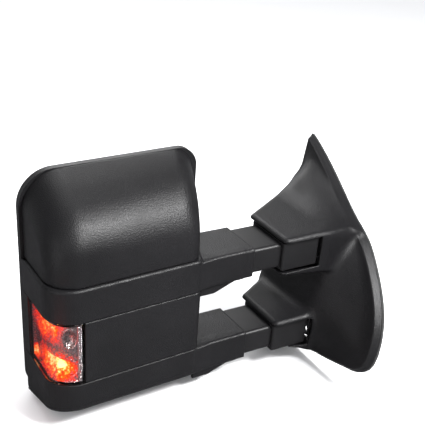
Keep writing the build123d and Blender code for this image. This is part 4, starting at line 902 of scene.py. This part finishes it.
def make_leds():
    """A domed LED on a flange in each of two places, facing the lens."""
    bm = bmesh.new()
    for share, z, depth, radius in LEDS:
        behind = Vector(lamp_place(share, depth + 4.5, z))
        place = Vector(lamp_place(share, depth, z))
        facing = (place - behind).normalized().to_track_quat("Z", "Y")
        matrix = Matrix.Translation(place) @ facing.to_matrix().to_4x4()
        size = radius * MM
        rings = []
        for ring_radius, height in LED_SECTION:
            sides = LED_SIDES if ring_radius else 1
            turns = [2 * math.pi * k / LED_SIDES for k in range(sides)]
            rings.append([bm.verts.new(matrix @ Vector((ring_radius * size * math.cos(turn),
                                                        ring_radius * size * math.sin(turn),
                                                        height * size)))
                          for turn in turns])
        for upper, lower in zip(rings, rings[1:]):
            for k in range(LED_SIDES):
                after = (k + 1) % LED_SIDES
                if len(upper) == 1:
                    bm.faces.new((upper[0], lower[k], lower[after]))
                elif len(lower) == 1:
                    bm.faces.new((upper[k], lower[0], upper[after]))
                else:
                    bm.faces.new((upper[k], lower[k], lower[after], upper[after]))
    bmesh.ops.recalc_face_normals(bm, faces=bm.faces)
    piece = bmesh_object("signal_leds", bm)
    piece.data.shade_smooth()
    return piece


def make_beads():
    """Two staggered columns of small reflex beads beside the panel, on a thin strip."""
    bm = bmesh.new()
    for share, shift in ((0.030, 0.0), (0.056, 1.35)):
        for k in range(28):
            z = -37.5 + 75.0 * k / 27 + shift
            if z > 38:
                continue
            bmesh.ops.create_icosphere(bm, subdivisions=2, radius=0.00125,
                                       matrix=Matrix.Translation(lamp_place(share, 4.4, z)))
    # strip behind the beads: upright edges, each a lower and an upper vertex
    front, back = [], []
    for share in (0.012, 0.02, 0.04, 0.06, 0.074):
        for edges, depth in ((front, 5.2), (back, 6.4)):
            edges.append([bm.verts.new(lamp_place(share, depth, z)) for z in (-38.8, 38.8)])
    for k in range(4):
        front0, back0, front1, back1 = front[k], back[k], front[k + 1], back[k + 1]
        bm.faces.new((front0[0], front1[0], front1[1], front0[1]))
        bm.faces.new((back0[1], back1[1], back1[0], back0[0]))
        bm.faces.new((front0[1], front1[1], back1[1], back0[1]))
        bm.faces.new((back0[0], back1[0], front1[0], front0[0]))
    bm.faces.new((front[0][0], front[0][1], back[0][1], back[0][0]))
    bm.faces.new((back[4][0], back[4][1], front[4][1], front[4][0]))
    bmesh.ops.recalc_face_normals(bm, faces=bm.faces)
    piece = bmesh_object("reflex_beads", bm)
    piece.data.shade_smooth()
    return piece


lit_chrome("reflector_lit")
reflector = make_reflector()
dress(reflector, "head", "reflector_chrome", "signal_reflector", material="reflector_lit")
reflector.data.materials.append(MATERIALS["dark_plastic"])
dress(make_leds(), "head", "lamp_glow", "signal_bulbs")
dress(make_beads(), "head", "reflector_chrome")


# ------------------------------------------------------------------ floor
FLOOR_SIZE = 60.0
FLOOR_GAP = 0.0012  # between the floor and the lowest CAD point
FLOOR_COLOUR = (0.93, 0.93, 0.935)


def floor_material():
    """Pale floor that reflections see as dark near by and bright far to the rear."""
    mat = Material("floor")
    patches = mat.ramp(mat.noise(scale=3.0, detail=4.0))
    base = mat.mix(patches, scaled(FLOOR_COLOUR, 0.985), FLOOR_COLOUR)
    glossy = mat.add("ShaderNodeLightPath").outputs["Is Glossy Ray"]
    position = mat.add("ShaderNodeNewGeometry").outputs["Position"]
    split = mat.add("ShaderNodeSeparateXYZ", {0: position})
    reflected = mat.mix(mat.ramp(split.outputs["Y"], low=0.9, high=2.4), (0.10, 0.10, 0.105),
                        (0.9, 0.9, 0.9))
    mat.set("Base Color", mat.mix(glossy, base, reflected))
    mat.set("Roughness", 0.6)
    mat.set("Specular IOR Level", 0.15)


bm = bmesh.new()
bmesh.ops.create_grid(bm, x_segments=8, y_segments=8, size=FLOOR_SIZE / 2)
floor = bmesh_object("floor", bm)
floor.location = (-0.15, 0.3, cad_lo.z - FLOOR_GAP)
floor_material()
floor.data.materials.append(MATERIALS["floor"])


# ------------------------------------------------------------------ lights
LIGHT_AIM = (-0.22, 0.0, 0.05)


def area(name, place, size, power, aim=LIGHT_AIM, size_y=None):
    light = bpy.data.lights.new(name, "AREA")
    light.shape = "RECTANGLE" if size_y else "SQUARE"
    light.size = size
    if size_y:
        light.size_y = size_y
    light.energy = power
    lamp = add_object(name, light, place)
    lamp.rotation_mode = "QUATERNION"
    lamp.rotation_quaternion = (Vector(aim) - Vector(place)).to_track_quat("-Z", "Y")


area("key", (0.40, -1.02, 1.22), aim=(-0.26, -0.02, 0.12), size=0.66, size_y=0.32, power=72)
area("top", (-0.1, 0.7, 2.0), size=1.6, power=15)
area("fill", (-1.3, -1.5, 1.3), size=0.8, power=5)
area("left", (-1.7, -0.50, 0.12), aim=(-0.3, 0.0, 0.1), size=0.22, size_y=0.9, power=5)
area("rear", (0.3, 1.6, 1.0), size=1.0, power=12)

# red light that the lamp throws on what is near it
spill = bpy.data.lights.new("lamp_spill", "POINT")
spill.energy = 0.035
spill.color = (1.0, 0.06, 0.03)
spill.shadow_soft_size = 0.02
add_object("lamp_spill", spill, (-0.452, -0.062, -0.004))


# ------------------------------------------------------------------ world
AMBIENT = 0.95     # strength for all but reflections
REFLECTED = 0.10   # strength that reflections see, save for a bright wall to the rear

world = bpy.data.worlds.new("studio")
bpy.context.scene.world = world
world.use_nodes = True
nodes, links = world.node_tree.nodes, world.node_tree.links
background = nodes["Background"]
background.inputs["Color"].default_value = (0.95, 0.96, 0.98, 1)


def world_range(value, low, high, to_low, to_high):
    node = nodes.new("ShaderNodeMapRange")
    links.new(value, node.inputs["Value"])
    for key, number in (("From Min", low), ("From Max", high),
                        ("To Min", to_low), ("To Max", to_high)):
        node.inputs[key].default_value = number
    return node


glossy = nodes.new("ShaderNodeLightPath").outputs["Is Glossy Ray"]
level = world_range(glossy, low=0.0, high=1.0, to_low=AMBIENT, to_high=REFLECTED)
split = nodes.new("ShaderNodeSeparateXYZ")
links.new(nodes.new("ShaderNodeTexCoord").outputs["Generated"], split.inputs[0])
wall = world_range(split.outputs["Y"], low=0.80, high=0.97, to_low=REFLECTED, to_high=1.0)
links.new(wall.outputs["Result"], level.inputs["To Max"])
links.new(level.outputs["Result"], background.inputs["Strength"])


# ------------------------------------------------------------------ camera
AZIMUTH, ELEVATION, ROLL = (math.radians(angle) for angle in (-32.83, 29.5, -4.72))
CAMERA_DISTANCE = 1030.59 * MM
CAMERA_TARGET = Vector((-180.03, 0, 30.02)) * MM

# axes of the level camera, then turned by the roll; back points from target to camera
level_right = Vector((math.cos(AZIMUTH), math.sin(AZIMUTH), 0))
back = Vector((math.sin(AZIMUTH) * math.cos(ELEVATION),
               -math.cos(AZIMUTH) * math.cos(ELEVATION), math.sin(ELEVATION)))
level_up = back.cross(level_right)
right = level_right * math.cos(ROLL) - level_up * math.sin(ROLL)
up = level_right * math.sin(ROLL) + level_up * math.cos(ROLL)
place = CAMERA_TARGET + back * CAMERA_DISTANCE

lens = bpy.data.cameras.new("camera")
camera = add_object("camera", lens)
camera.matrix_world = Matrix((*zip(right, up, back, place), (0, 0, 0, 1)))
lens.sensor_width = 36.0
lens.lens = 68.4864
lens.shift_x = -0.01390588
lens.shift_y = 0.15242353
lens.clip_start, lens.clip_end = 0.01, 60
scene = bpy.context.scene
scene.camera = camera
scene.view_settings.view_transform = "Standard"
scene.view_settings.look = "None"
